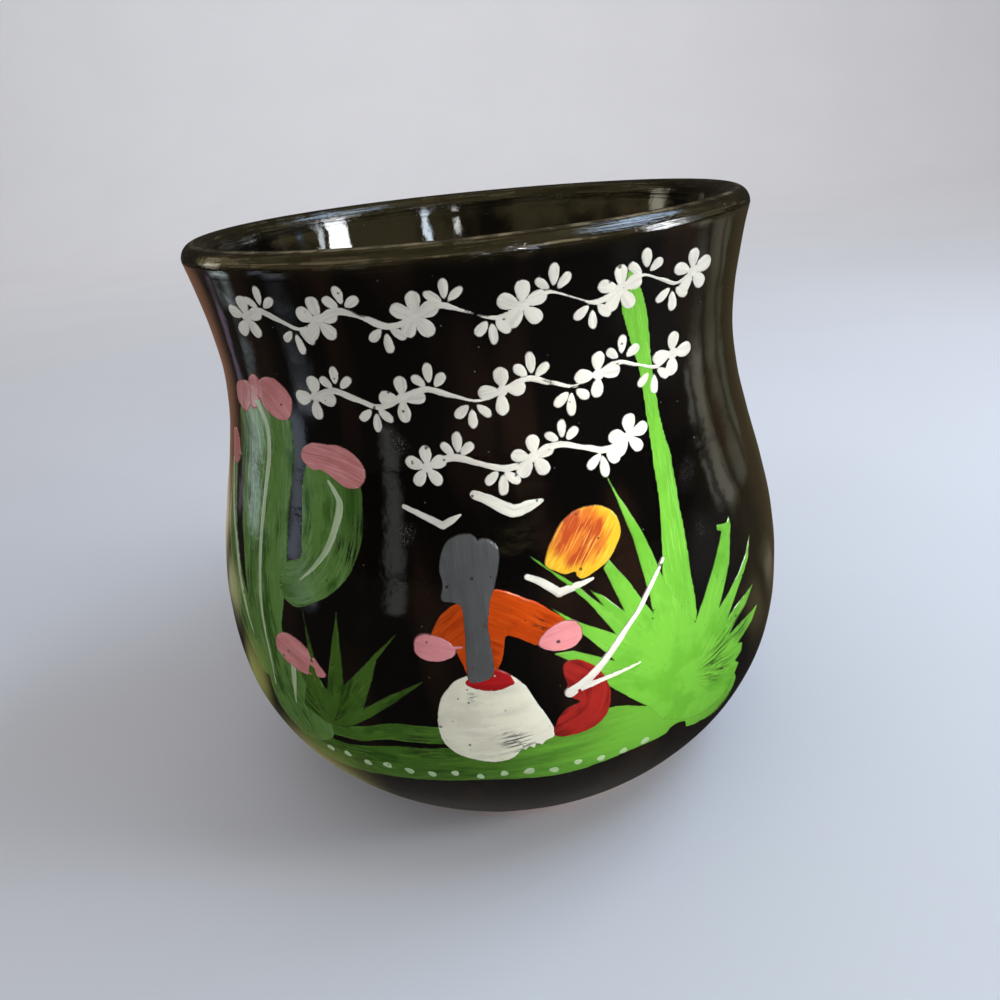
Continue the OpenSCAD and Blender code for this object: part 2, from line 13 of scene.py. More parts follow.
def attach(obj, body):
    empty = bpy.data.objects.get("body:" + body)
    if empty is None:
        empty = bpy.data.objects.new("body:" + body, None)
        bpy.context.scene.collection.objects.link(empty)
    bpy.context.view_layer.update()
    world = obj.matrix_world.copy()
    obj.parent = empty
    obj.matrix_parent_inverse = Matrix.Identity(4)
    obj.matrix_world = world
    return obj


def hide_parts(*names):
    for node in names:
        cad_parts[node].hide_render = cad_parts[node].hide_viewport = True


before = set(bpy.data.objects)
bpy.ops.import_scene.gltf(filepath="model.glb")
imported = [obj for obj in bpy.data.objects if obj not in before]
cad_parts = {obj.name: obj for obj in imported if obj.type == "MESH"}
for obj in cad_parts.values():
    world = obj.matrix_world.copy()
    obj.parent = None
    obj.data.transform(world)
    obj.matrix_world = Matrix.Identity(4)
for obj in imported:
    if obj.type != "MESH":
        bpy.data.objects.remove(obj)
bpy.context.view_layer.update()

LOG = logging.getLogger("jarrito")
MM = 0.001
DEGREES = 180 / math.pi
FACE = math.radians(-5.0)  # Azimuth of the middle of the painted face

Colour = tuple[float, float, float]
Spot = tuple[float, float, float]
Place = tuple[float, float]  # Azimuth in degrees and height share, or radius and height in millimetres
Box = tuple[float, float, float, float]  # Lowest and highest x, lowest and highest z
Field = tuple[np.ndarray, np.ndarray, np.ndarray]


class Tip(Enum):
    """How the brush leaves the pot at the end of a mark."""

    WET = "wet"
    DRY = "dry"


class Tier(Enum):
    """How high a coat lies on those under it, in millimetres above the glaze."""

    FIRST = 0.0
    SECOND = 0.05
    THIRD = 0.10
    LAST = 0.145


# Shader maths


class Socket:
    """A shader output that takes part in Python expressions."""

    def __init__(self, graph: "Graph", out: bpy.types.NodeSocket) -> None:
        """Keeps the output and the graph it belongs to."""
        self.graph = graph
        self.out = out

    def __add__(self, other: "Socket | float") -> "Socket":
        """Sum."""
        return self.graph.maths("ADD", self, other)

    def __radd__(self, other: float) -> "Socket":
        """Sum with a number in front."""
        return self.graph.maths("ADD", other, self)

    def __sub__(self, other: "Socket | float") -> "Socket":
        """Difference."""
        return self.graph.maths("SUBTRACT", self, other)

    def __rsub__(self, other: float) -> "Socket":
        """Difference from a number."""
        return self.graph.maths("SUBTRACT", other, self)

    def __mul__(self, other: "Socket | float") -> "Socket":
        """Product."""
        return self.graph.maths("MULTIPLY", self, other)

    def __rmul__(self, other: float) -> "Socket":
        """Product with a number in front."""
        return self.graph.maths("MULTIPLY", other, self)

    def __pow__(self, other: float) -> "Socket":
        """Power."""
        return self.graph.maths("POWER", self, other)


class Graph:
    """The shader graph of one material, or of the world."""

    def __init__(self, name: str, world: bool = False) -> None:
        """Starts an empty graph.

        Args:
            name: The name of its material or world.
            world: Whether it is a world's.
        """
        self.material = (bpy.data.worlds if world else bpy.data.materials).new(name)
        self.material.use_nodes = True
        self.tree = self.material.node_tree
        self.tree.nodes.clear()

    def node(
        self, kind: str, settings: dict | None = None, values: dict | None = None, output: int | str | None = 0
    ) -> Socket | None:
        """Adds one node.

        Args:
            kind: The node's type, less its ShaderNode prefix.
            settings: What is set on the node first.
            values: Its inputs, each a number, a colour or a link.
            output: The output that is handed back, or None where there is none.

        Returns:
            That output as a socket.
        """
        node = self.tree.nodes.new("ShaderNode" + kind)
        for key, value in (settings or {}).items():
            setattr(node, key, value)
        for key, value in (values or {}).items():
            if isinstance(value, Socket):
                self.tree.links.new(value.out, node.inputs[key])
            else:
                node.inputs[key].default_value = value
        return None if output is None else Socket(self, node.outputs[output])

    def maths(self, operation: str, a: Socket | float, b: Socket | float = 0.0) -> Socket:
        """One Math node on two values."""
        return self.node("Math", {"operation": operation}, {0: a, 1: b})

    def ray(self, kind: str) -> Socket:
        """1 for rays of that kind, and 0 for the others."""
        return self.node("LightPath", None, None, kind)

    def smooth(self, value: Socket, low: float, high: float) -> Socket:
        """Rises smoothly from 0 to 1, or falls where low is the larger.

        Args:
            value: The value that it follows.
            low: Where the result is 0.
            high: Where the result is 1.

        Returns:
            The result, between 0 and 1.
        """
        if low > high:
            return 1.0 - self.smooth(value, high, low)
        return self.node(
            "MapRange", {"interpolation_type": "SMOOTHSTEP"}, {"Value": value, "From Min": low, "From Max": high}
        )

    def band(self, value: Socket, middle: float, edge: float, full: float) -> Socket:
        """1 where a value is within full of the middle, and 0 from edge outwards."""
        return self.smooth(self.maths("ABSOLUTE", value - middle), edge, full)

    def mix(self, share: Socket | float, a: Socket | Colour, b: Socket | Colour) -> Socket:
        """Colour a where share is 0 and b where it is 1."""
        plain = [c if isinstance(c, Socket) else (*c, 1.0) for c in (a, b)]
        return self.node("Mix", {"data_type": "RGBA"}, {0: share, 6: plain[0], 7: plain[1]}, 2)

    def vector(self, x: Socket | float, y: Socket | float, z: Socket | float) -> Socket:
        """A vector of three values."""
        return self.node("CombineXYZ", None, {0: x, 1: y, 2: z})

    def split(self, vector: Socket) -> list[Socket]:
        """The three values of a vector."""
        first = self.node("SeparateXYZ", None, {0: vector})
        return [Socket(self, out) for out in first.out.node.outputs]

    def noise(self, vector: Socket, scale: float, detail: float = 2.0) -> Socket:
        """Soft noise, about 0.3 to 0.7."""
        return self.node("TexNoise", None, {"Vector": vector, "Scale": scale, "Detail": detail})

    def drawn(self, x: Socket | float, y: Socket | float, z: Socket | float, detail: float = 3.0) -> Socket:
        """Soft noise over three values that are already at its scale."""
        return self.noise(self.vector(x, y, z), 1.0, detail)

    def specks(self, vector: Socket, scale: float, size: float) -> Socket:
        """Round specks: 1 in the middle of each and 0 from a share of their spacing outwards."""
        far = self.node("TexVoronoi", None, {"Vector": vector, "Scale": scale, "Randomness": 1.0})
        return self.smooth(far, size, size * 0.5)

    def place(self) -> Socket:
        """Object coordinates in millimetres."""
        metres = self.node("TexCoord", None, None, "Object")
        return self.node("VectorMath", {"operation": "SCALE"}, {0: metres, "Scale": 1000.0})

    def distance(self, at: Socket, point: Spot) -> Socket:
        """Distance from a point."""
        return self.node("VectorMath", {"operation": "DISTANCE"}, {0: at, 1: point}, "Value")

    def from_axis(self, x: Socket, y: Socket) -> Socket:
        """Distance from the pot's axis."""
        return (x * x + y * y) ** 0.5

    def azimuth(self, x: Socket, y: Socket) -> Socket:
        """Angle round the pot from the front towards the right, in radians."""
        return self.maths("ARCTAN2", x, 0.0 - y)

    def bump(self, height: Socket) -> Socket:
        """The normal bent by a height in millimetres."""
        return self.node("Bump", None, {"Height": height, "Distance": MM, "Strength": 1.0})

    def surface(
        self, colour: Socket, roughness: Socket, normal: Socket, **others: Socket | float
    ) -> bpy.types.Material:
        """Closes the graph with one glossy or matt shader.

        Args:
            colour: The base colour.
            roughness: The roughness.
            normal: The bent normal.
            others: What the shader's other sockets get, with _ for a space.

        Returns:
            The finished material.
        """
        values = {"Base Color": colour, "Roughness": roughness, "Normal": normal}
        values.update({key.replace("_", " "): value for key, value in others.items()})
        shader = self.node("BsdfPrincipled", None, values)
        self.close(shader, "OutputMaterial")
        return self.material

    def close(self, shader: Socket, kind: str) -> None:
        """Links a shader to the output of that kind."""
        self.node(kind, None, {"Surface": shader}, None)


# Finishes


@dataclass(frozen=True)
class Terracotta:
    """Bare fired clay: orange brown, sandy, with the lines of the wheel and of the cutting wire."""

    name: str
    clay: Colour = (0.36, 0.145, 0.070)
    pale: Colour = (0.50, 0.235, 0.125)
    burnt: Colour = (0.17, 0.065, 0.035)

    def material(self) -> bpy.types.Material:
        """Mixes the clay.

        Returns:
            The clay's material.
        """
        g = Graph(self.name)
        at = g.place()
        x, y, z = g.split(at)
        clouds = g.noise(at, 0.16, 3.0)
        grit = g.noise(at, 3.2, 2.0)
        colour = g.mix(g.smooth(clouds, 0.38, 0.62), self.clay, self.pale)
        colour = g.mix(g.smooth(grit, 0.60, 0.74) * 0.6, colour, self.burnt)
        colour = g.mix(g.specks(at, 0.55, 0.16) * 0.7, colour, self.burnt)
        far = (x * x + (y * 1.25 + 9.0) * (y * 1.25 + 9.0)) ** 0.5
        wire = g.maths("SINE", far * 3.4 + clouds * 3.0) * g.smooth(z, 0.7, 0.2)
        turned = g.maths("SINE", z * 5.2 + clouds * 2.0)
        height = grit * 0.16 + wire * 0.035 + turned * 0.02 - g.specks(at, 0.55, 0.16) * 0.12
        return g.surface(colour, 0.70 + grit * 0.25, g.bump(height), IOR=1.45, Specular_IOR_Level=0.35)


@dataclass(frozen=True)
class Scuff:
    """A rubbed place on the glaze or a dry one in the paint, in millimetres."""

    at: Spot
    reach: float
    strength: float

    def mask(self, g: Graph, at: Socket, noise: Socket, ragged: float, full: float) -> Socket:
        """The scuff's strength: whole within a share full of its reach, then less, with an edge that noise drags."""
        far = g.distance(at, self.at) + (noise - 0.5) * (self.reach * ragged)
        return g.smooth(far, self.reach, self.reach * full) * self.strength


@dataclass(frozen=True)
class BlackGlaze:
    """Glossy black lead-type glaze that thins to brown over the lip, with painted tan highlight lines along the lip,
    dust, pinholes and rubbed places.
    """

    name: str = "black_glaze"
    black: Colour = (0.0019, 0.0015, 0.0013)
    brown: Colour = (0.0125, 0.0060, 0.0036)
    olive: Colour = (0.036, 0.0275, 0.0105)
    tan_clay_and_highlight: Colour = (0.30, 0.235, 0.13)
    dust: Colour = (0.42, 0.40, 0.36)
    rim_radius: float = 46.6
    lip_radius: float = 2.4
    lip_height: float = 97.6
    scuffs: tuple[Scuff, ...] = (
        Scuff((-12.0, -43.3, 74.2), 1.9, 0.9), Scuff((-13.1, -45.9, 62.2), 2.2, 0.85),
        Scuff((29.9, -40.1, 54.7), 3.4, 0.35), Scuff((28.6, -37.8, 63.6), 2.6, 0.25),
        Scuff((-19.6, -43.1, 63.9), 2.6, 0.15),
    )

    def material(self) -> bpy.types.Material:
        """Mixes the glaze.

        Returns:
            The glaze's material.
        """
        g = Graph(self.name)
        at = g.place()
        x, y, z = g.split(at)
        slow = g.noise(at, 0.050, 2.0)
        clouds = g.noise(at, 0.14, 3.0)
        broken = g.noise(at, 0.42, 4.0)
        fine = g.noise(at, 2.6, 2.0)
        runs = g.drawn(x * 0.11, y * 0.11, z * 0.012)
        from_axis = g.from_axis(x, y)
        round_lip = g.azimuth(x, y) * self.rim_radius
        drawn = g.drawn(round_lip * 0.085, from_axis * 2.0, z * 2.0, 4.0)
        colour = g.mix(g.smooth(runs, 0.47, 0.66), self.black, self.brown)
        # The glaze draws back from the crest of the lip, where the clay shines through olive; the tan lines along its
        # top and outer roll are thin glaze and painted highlight lines
        crest = g.smooth(z, self.lip_height - 1.6, self.lip_height + 1.9)
        colour = g.mix(crest * (0.10 + clouds * 0.7), colour, self.olive)
        top = g.band(from_axis, self.rim_radius - self.lip_radius + 0.40, 0.55, 0.15)
        roll = g.band(z, self.lip_height + 0.55, 0.40, 0.05)
        roll = roll * g.smooth(from_axis, self.rim_radius - 1.0, self.rim_radius - 0.6)
        lip_line_breaks = g.smooth(broken + fine * 0.20, 0.50, 0.68)
        patchy = g.smooth(clouds, 0.42, 0.60)
        streaky = g.smooth(drawn, 0.50, 0.66)
        # Painted highlight: tan lines along the lip's top and outer roll, broken by noise, over the thin glaze
        colour = g.mix(crest * top * (0.30 + lip_line_breaks * 0.70) * (0.35 + patchy * 0.65), colour, self.tan_clay_and_highlight)
        colour = g.mix(roll * streaky * (0.15 + lip_line_breaks * 0.35), colour, self.tan_clay_and_highlight)
        colour = g.mix(crest * streaky * lip_line_breaks * 0.22, colour, self.tan_clay_and_highlight)
        # Dust, pinholes and rubbed places
        specks = g.specks(at, 0.36, 0.050)
        pins = g.specks(g.node("VectorMath", {"operation": "ADD"}, {0: at, 1: (3.1, 7.7, 1.3)}), 0.22, 0.035)
        grit = g.noise(at, 5.5, 3.0)
        rubbed = g.smooth(grit, 0.54, 0.66)
        scuffed = g.maths("MINIMUM", sum(scuff.mask(g, at, clouds, 2.0, 0.15) for scuff in self.scuffs), 1.0)
        colour = g.mix(specks * 0.25 + rubbed * scuffed * 0.40, colour, self.dust)
        colour = g.mix(pins * 0.6, colour, self.brown)
        turned = g.maths("SINE", z * 1.15 + slow * 9.0) * 0.004
        height = slow * 0.42 + clouds * 0.085 + broken * 0.022 + fine * 0.0030 + turned
        height = height - pins * 0.09 + specks * 0.02 + rubbed * scuffed * 0.012
        height = height + crest * (drawn * 0.22 + broken * 0.08)
        roughness = 0.030 + g.smooth(broken, 0.50, 0.74) * 0.05 + specks * 0.3 + scuffed * (0.08 + rubbed * 0.3)
        return g.surface(
            colour, roughness, g.bump(height), IOR=1.58, Coat_Weight=0.30, Coat_Roughness=0.03, Coat_IOR=1.5
        )


@dataclass(frozen=True)
class Brushed:
    """Where a point of the paint lies: object coordinates, along and across its brush mark, and the mark's number."""

    at: Socket
    along: Socket
    across: Socket
    seed: Socket


@dataclass(frozen=True)
class Enamel:
    """Thick glossy brush paint with streaks along the brush, ridges, thin places and specks left bare."""

    name: str
    base: Colour
    deep: Colour
    pale: Colour
    streaks: float = 0.6
    ridges: float = 0.35
    bare: float = 0.15
    lanes: float = 1.5
    roughness: float = 0.08
    calm: float = 0.0
    wash: float = 0.25
    under: Colour = (0.010, 0.009, 0.008)
    dry: tuple[Scuff, ...] = ()

    def body(self, g: Graph, on: Brushed) -> Socket:
        """The colour before thin places and specks.

        Args:
            g: The material's graph.
            on: Where the point lies.

        Returns:
            The colour.
        """
        lane = g.drawn(on.along * 0.09 + on.seed * 2.3, on.across * (self.lanes * 0.55), on.seed)
        hair = g.drawn(on.along * 0.22, on.across * (self.lanes * 2.6), on.seed * 1.7)
        patch = g.noise(on.at, 0.30, 2.0)
        risen = g.smooth(on.along, self.calm * 0.3, self.calm) if self.calm else 1.0
        lane = g.smooth(lane * 0.75 + patch * 0.25, 0.47, 0.62) * self.streaks * risen
        colour = g.mix(lane, self.base, self.deep)
        cloud = g.noise(on.at, 0.19, 3.0)
        colour = g.mix(g.smooth(cloud, 0.46, 0.62) * self.wash, colour, self.deep)
        return g.mix(g.smooth(hair, 0.52, 0.70) * self.ridges * risen, colour, self.pale)

    def material(self) -> bpy.types.Material:
        """Mixes the paint.

        Returns:
            The paint's material.
        """
        g = Graph(self.name)
        at = g.place()
        along, across, seed = g.split(g.node("Attribute", {"attribute_name": "brush"}, None, "Vector"))
        film = g.node("Attribute", {"attribute_name": "film"}, None, "Fac")
        colour = self.body(g, Brushed(at, along, across, seed))
        hair = g.drawn(along * 0.5, across * (self.lanes * 4.0), seed * 3.1)
        mottle = g.noise(at, 1.1, 3.0)
        thin = g.smooth(film + hair * 0.35 + mottle * 0.15, 0.62, 0.30)
        colour = g.mix(thin * 0.8, colour, self.under)
        bare = g.smooth(hair * 0.6 + mottle * 0.4, 0.60, 0.68) * self.bare
        colour = g.mix(bare, colour, self.under)
        scratch = g.smooth(g.drawn(along * 0.28, across * 3.4, seed * 5.3, 4.0) + mottle * 0.25, 0.60, 0.70)
        for scuff in self.dry:
            colour = g.mix(scratch * scuff.mask(g, at, mottle, 1.0, 0.2), colour, self.under)
        pins = g.specks(at, 0.30, 0.055)
        colour = g.mix(pins * 0.75, colour, self.under)
        height = hair * 0.028 + mottle * 0.024 + g.noise(at, 0.35, 2.0) * 0.07 - pins * 0.07 - bare * 0.03
        roughness = self.roughness + mottle * 0.08 + bare * 0.1
        return g.surface(
            colour, roughness, g.bump(height), IOR=1.48, Specular_IOR_Level=0.45, Coat_Weight=0.25, Coat_Roughness=0.06
        )


@dataclass(frozen=True)
class TwoToneEnamel(Enamel):
    """Enamel that a second colour was worked into, from one side to the other or in the middle."""

    second: Colour = (0.5, 0.5, 0.5)
    start: float = -20.0
    end: float = 20.0
    share: float = 1.0

    def body(self, g: Graph, on: Brushed) -> Socket:
        """The plain enamel's colour with the second one worked in.

        Args:
            g: The material's graph.
            on: Where the point lies.

        Returns:
            The colour.
        """
        colour = super().body(g, on)
        x = g.split(on.at)[0]
        lane = g.drawn(on.along * 0.10, on.across * self.lanes, on.seed)
        spread = abs(self.end - self.start) * 0.9
        worked = g.smooth(x + (lane - 0.5) * spread, self.start, self.end)
        return g.mix(worked * self.share, colour, self.second)


@dataclass(frozen=True)
class SunEnamel(Enamel):
    """Yellow enamel with orange and brick red dragged through it while wet."""

    orange: Colour = (0.64, 0.135, 0.019)
    brick: Colour = (0.47, 0.055, 0.014)
    middle: Spot = (10.6, -47.3, 60.3)

    def body(self, g: Graph, on: Brushed) -> Socket:
        """Yellow towards the right edge, with orange and red smears elsewhere.

        Args:
            g: The material's graph.
            on: Where the point lies.

        Returns:
            The colour.
        """
        drag = g.drawn(on.along * 0.22, on.across * 1.1, 4.0, 4.0)
        smear = g.drawn(on.along * 0.22 + 8.0, on.across * 0.50, 9.0)
        hair = g.drawn(on.along * 0.25, on.across * 4.2, 2.0)
        heart = g.smooth(g.distance(on.at, self.middle) + (drag - 0.5) * 5.0, 5.4, 3.2)
        colour = g.mix(heart * 0.90, self.base, self.orange)
        colour = g.mix(g.smooth(smear, 0.44, 0.57) * heart * 0.9, colour, self.brick)
        return g.mix(g.smooth(hair, 0.52, 0.68) * 0.65, colour, self.pale)


# Shapes


def from_scratch() -> None:
    """Leaves object mode on and nothing selected."""
    if bpy.context.object and bpy.context.object.mode != "OBJECT":
        bpy.ops.object.mode_set(mode="OBJECT")
    bpy.ops.object.select_all(action="DESELECT")


def name_piece(name: str, material: bpy.types.Material) -> bpy.types.Object:
    """Names the object at hand, dresses it and shades it smooth.

    Args:
        name: The piece's name.
        material: Its only material.

    Returns:
        The object.
    """
    piece = bpy.context.object
    piece.name = name
    piece.data.name = name
    piece.data.materials.clear()
    piece.data.materials.append(material)
    bpy.ops.object.shade_smooth()
    return piece


def hand_over(piece: bpy.types.Object, slot: str, *nodes: str) -> None:
    """Hands a finished piece to the frame.

    Args:
        piece: The piece.
        slot: The record's material slot that matches its finish; not used.
        nodes: The solids it stands for.
    """
    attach(piece, "root")
    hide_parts(*nodes)
    LOG.info("%s: %d faces", piece.name, len(piece.data.polygons))


def edit(kind: str) -> None:
    """Starts edit mode on the object at hand with all of it selected.

    Args:
        kind: What is selected: VERT, EDGE or FACE.
    """
    bpy.ops.object.mode_set(mode="EDIT")
    bpy.ops.mesh.select_mode(type=kind)
    bpy.ops.mesh.select_all(action="SELECT")


def end_edit(inside: bool = False) -> None:
    """Turns all faces one way and leaves edit mode.

    Args:
        inside: Whether they face inwards.
    """
    bpy.ops.mesh.select_all(action="SELECT")
    bpy.ops.mesh.normals_make_consistent(inside=inside)
    bpy.ops.object.mode_set(mode="OBJECT")


def lathe(outline: list[Place], sides: int) -> None:
    """Draws an outline point by point in the plane y = 0 and spins it round the pot's axis.

    Args:
        outline: Points as radius and height, in millimetres.
        sides: Steps of the spin.
    """
    from_scratch()
    bpy.ops.mesh.primitive_plane_add(size=MM)
    edit("VERT")
    bpy.ops.mesh.merge(type="CENTER")
    bpy.ops.transform.translate(value=(outline[0][0] * MM, 0, outline[0][1] * MM))
    for (r0, z0), (r1, z1) in zip(outline, outline[1:]):
        bpy.ops.mesh.extrude_vertices_move(TRANSFORM_OT_translate={"value": ((r1 - r0) * MM, 0, (z1 - z0) * MM)})
    bpy.ops.mesh.select_all(action="SELECT")
    bpy.ops.mesh.remove_doubles(threshold=1e-7)
    bpy.ops.mesh.spin(steps=sides, angle=math.tau, center=(0, 0, 0), axis=(0, 0, 1))
    bpy.ops.mesh.select_all(action="SELECT")
    bpy.ops.mesh.remove_doubles(threshold=1e-6)
    end_edit()


def corners(mesh: bpy.types.Mesh) -> np.ndarray:
    """Reads the mesh's vertices.

    Args:
        mesh: The mesh.

    Returns:
        Its vertices as rows of x, y and z.
    """
    flat = np.empty(len(mesh.vertices) * 3, np.float32)
    mesh.vertices.foreach_get("co", flat)
    return flat.reshape(-1, 3).astype(float)


def move_corners(mesh: bpy.types.Mesh, rows: np.ndarray) -> None:
    """Puts the mesh's vertices at rows of x, y and z."""
    mesh.vertices.foreach_set("co", rows.astype(np.float32).ravel())
    mesh.update()


class Grain:
    """Smooth seeded noise between 0 and 1 over two lengths."""

    def __init__(self, seed: int) -> None:
        """Fills the table that the noise is read from."""
        self.table = np.random.default_rng(seed).random((64, 64))

    def __call__(self, u: np.ndarray, v: np.ndarray) -> np.ndarray:
        """Reads the noise.

        Args:
            u: First length of each point.
            v: Second length of each point.

        Returns:
            The noise at each point.
        """
        iu, iv = np.floor(u).astype(int), np.floor(v).astype(int)
        fu, fv = u - iu, v - iv
        fu, fv = fu * fu * (3 - 2 * fu), fv * fv * (3 - 2 * fv)
        t = self.table
        low = t[iu % 64, iv % 64] * (1 - fu) + t[(iu + 1) % 64, iv % 64] * fu
        high = t[iu % 64, (iv + 1) % 64] * (1 - fu) + t[(iu + 1) % 64, (iv + 1) % 64] * fu
        return low * (1 - fv) + high * fv


@dataclass(frozen=True)
class PotForm:
    """Sizes of the thrown pot in millimetres, and the places on its wall.

    The last eight say how uneven a thrown pot is: how far it is oval and three-cornered, the height and turn of
    the rings that fingers leave, the least that it lies inside its true circle, the radius of the floor that
    stays true, and the height from which the lip dips and how far.
    """

    height: float = 100.0
    rim: float = 93.2
    belly: float = 106.8
    belly_height: float = 32.5
    neck: float = 89.0
    neck_height: float = 81.0
    foot: float = 74.8
    foot_bevel: float = 0.8
    wall: float = 4.8
    floor: float = 7.6
    bowl_square: float = 2.8
    glaze: float = 0.45
    bare_strip: float = 1.8
    oval: float = 0.06
    three_cornered: float = 0.03
    ring_height: float = 0.018
    ring_turn: float = 0.74
    least: float = 0.04
    true_floor: float = 30.0
    dip_start: float = 93.0
    dip_depth: float = 0.11

    @property
    def lip_radius(self) -> float:
        """Radius of the lip's rounding."""
        return self.wall / 2

    @property
    def lip_height(self) -> float:
        """Height at which the lip's rounding starts."""
        return self.height - self.lip_radius

    def radius(self, z: np.ndarray | float) -> np.ndarray:
        """The glazed wall's outline.

        Args:
            z: Heights.

        Returns:
            The wall's radius at each height.
        """
        z = np.asarray(z, float)
        foot_r, belly_r, neck_r, rim_r = self.foot / 2, self.belly / 2, self.neck / 2, self.rim / 2
        low = foot_r + (belly_r - foot_r) * (1 - np.clip(1 - z / self.belly_height, 0, 1) ** 2.3)
        rise = np.clip((z - self.belly_height) / (self.neck_height - self.belly_height), 0, 1) ** 1.1
        middle = neck_r + (belly_r - neck_r) * (1 + np.cos(np.pi * rise)) / 2
        flare = np.clip((z - self.neck_height) / (self.lip_height - self.neck_height), 0, 1)
        high = neck_r + (rim_r - neck_r) * flare ** 1.6
        return np.where(z < self.belly_height, low, np.where(z < self.neck_height, middle, high))

    def hand(self, turn: np.ndarray, z: np.ndarray) -> np.ndarray:
        """How far the potter's hands left the wall inside its true circle.

        Args:
            turn: Angles round the pot.
            z: Heights.

        Returns:
            The lengths, all above zero.
        """
        sway = self.oval * (1 + np.cos(2 * turn - 0.9)) + self.three_cornered * (1 + np.cos(3 * turn + z / 15.0))
        rings = self.ring_height * (1 + np.sin(z * self.ring_turn + 0.8 * np.sin(turn)))
        return self.least + sway + rings

    def dip(self, turn: np.ndarray, z: np.ndarray) -> np.ndarray:
        """How far the lip lies under its true height."""
        share = np.clip((z - self.dip_start) / 5.0, 0, 1)
        return share * share * (3 - 2 * share) * self.dip_depth * (2 + np.cos(2 * turn + 1.1) + np.cos(turn - 0.4))

    def settle(self, mesh: bpy.types.Mesh) -> None:
        """Gives a revolved mesh the small unevenness of a hand-thrown pot.

        Args:
            mesh: The mesh.
        """
        at = corners(mesh) / MM
        turn = np.arctan2(at[:, 0], -at[:, 1])
        far = np.hypot(at[:, 0], at[:, 1])
        share = np.clip(far / self.true_floor, 0, 1)
        new = far - self.hand(turn, at[:, 2]) * share
        scale = np.where(far > 1e-6, new / np.maximum(far, 1e-6), 1.0)
        z = at[:, 2] - self.dip(turn, at[:, 2])
        move_corners(mesh, np.stack([at[:, 0] * scale, at[:, 1] * scale, z], 1) * MM)

    def flat(self, place: Place) -> np.ndarray:
        """A place on the wall, azimuth in degrees and height share, laid flat on the painted face."""
        z = place[1] * self.height
        return np.array([float(self.radius(z)) * math.sin(math.radians(place[0]) - FACE), z])

    def wrap(self, x: np.ndarray, z: np.ndarray, lift: np.ndarray) -> np.ndarray:
        """Lays flat points back on the wall.

        Args:
            x: Flat x of the points.
            z: Their height.
            lift: How far each lies above the wall.

        Returns:
            The points as rows of x, y and z in metres.
        """
        turn = FACE + np.arcsin(np.clip(x / self.radius(z), -0.999, 0.999))
        far = self.radius(z) - self.hand(turn, z) + lift
        return np.stack([far * np.sin(turn), -far * np.cos(turn), z - self.dip(turn, z)], 1) * MM

    def wall_line(self, inset: float, low: float, steps: int) -> list[Place]:
        """The wall from a height up to the lip, moved inwards."""
        return [(float(self.radius(z)) - inset, float(z)) for z in np.linspace(low, self.lip_height, steps)]

    def lip_arc(self, inset: float, steps: int) -> list[Place]:
        """The lip from outside to inside, between its ends.

        Args:
            inset: How far it is moved into the clay.
            steps: Steps of the arc.

        Returns:
            Points as radius and height.
        """
        r, middle = self.lip_radius - inset, self.rim / 2 - self.lip_radius
        turns = [math.pi * i / steps for i in range(1, steps)]
        return [(middle + r * math.cos(a), self.lip_height + r * math.sin(a)) for a in turns]

    def bowl_line(self, inset: float, steps: int) -> list[Place]:
        """The bowl from the lip to the middle of its floor.

        Args:
            inset: How far it is moved into the clay.
            steps: Steps of the wall, and of the turn to the floor.

        Returns:
            Points as radius and height.
        """
        side = [
            (float(self.radius(z)) - self.wall + inset, float(z))
            for z in np.linspace(self.lip_height, self.belly_height, steps)
        ]
        across = self.belly / 2 - self.wall + inset
        deep = self.belly_height - self.floor + inset
        turns = [math.pi / 2 * i / steps for i in range(1, steps + 1)]
        bend = 2 / self.bowl_square
        low = [
            (across * max(0.0, round(math.cos(a), 9)) ** bend, self.belly_height - deep * math.sin(a) ** bend)
            for a in turns
        ]
        return side + low


# Brush marks


def curve_through(points: list[np.ndarray], closed: bool, steps: int = 8) -> np.ndarray:
    """A smooth curve through points.

    Args:
        points: Flat points in millimetres.
        closed: Whether the curve comes back to its start.
        steps: Points between two of those given.

    Returns:
        The curve's points as rows.
    """
    ends = [points[-1], *points, points[0], points[1]] if closed else [points[0], *points, points[-1]]
    rows = []
    for p0, p1, p2, p3 in zip(ends, ends[1:], ends[2:], ends[3:]):
        for k in range(steps):
            t = k / steps
            rows.append(
                p1 + t * (p2 - p0) / 2 + t * t * (2 * p0 - 5 * p1 + 4 * p2 - p3) / 2
                + t ** 3 * (3 * p1 - p0 - 3 * p2 + p3) / 2
            )
    if not closed:
        rows.append(points[-1])
    return np.array(rows)


def along_line(line: np.ndarray, x: np.ndarray, z: np.ndarray) -> Field:
    """How points lie to a line.

    Args:
        line: The line's points as rows.
        x: Flat x of the points.
        z: Their height.

    Returns:
        The length along the line, the signed distance across it and the true distance.
    """
    best = np.full(x.shape, 1e9)
    along, side = np.zeros(x.shape), np.ones(x.shape)
    passed = 0.0
    for a, b in zip(line, line[1:]):
        run = b - a
        length = float(np.hypot(*run)) or 1e-9
        t = np.clip(((x - a[0]) * run[0] + (z - a[1]) * run[1]) / length ** 2, 0, 1)
        dx, dz = x - a[0] - t * run[0], z - a[1] - t * run[1]
        far = np.hypot(dx, dz)
        near = far < best
        best = np.where(near, far, best)
        along = np.where(near, passed + t * length, along)
        side = np.where(near, np.sign(run[0] * dz - run[1] * dx), side)
        passed += length
    return along, side * best, best


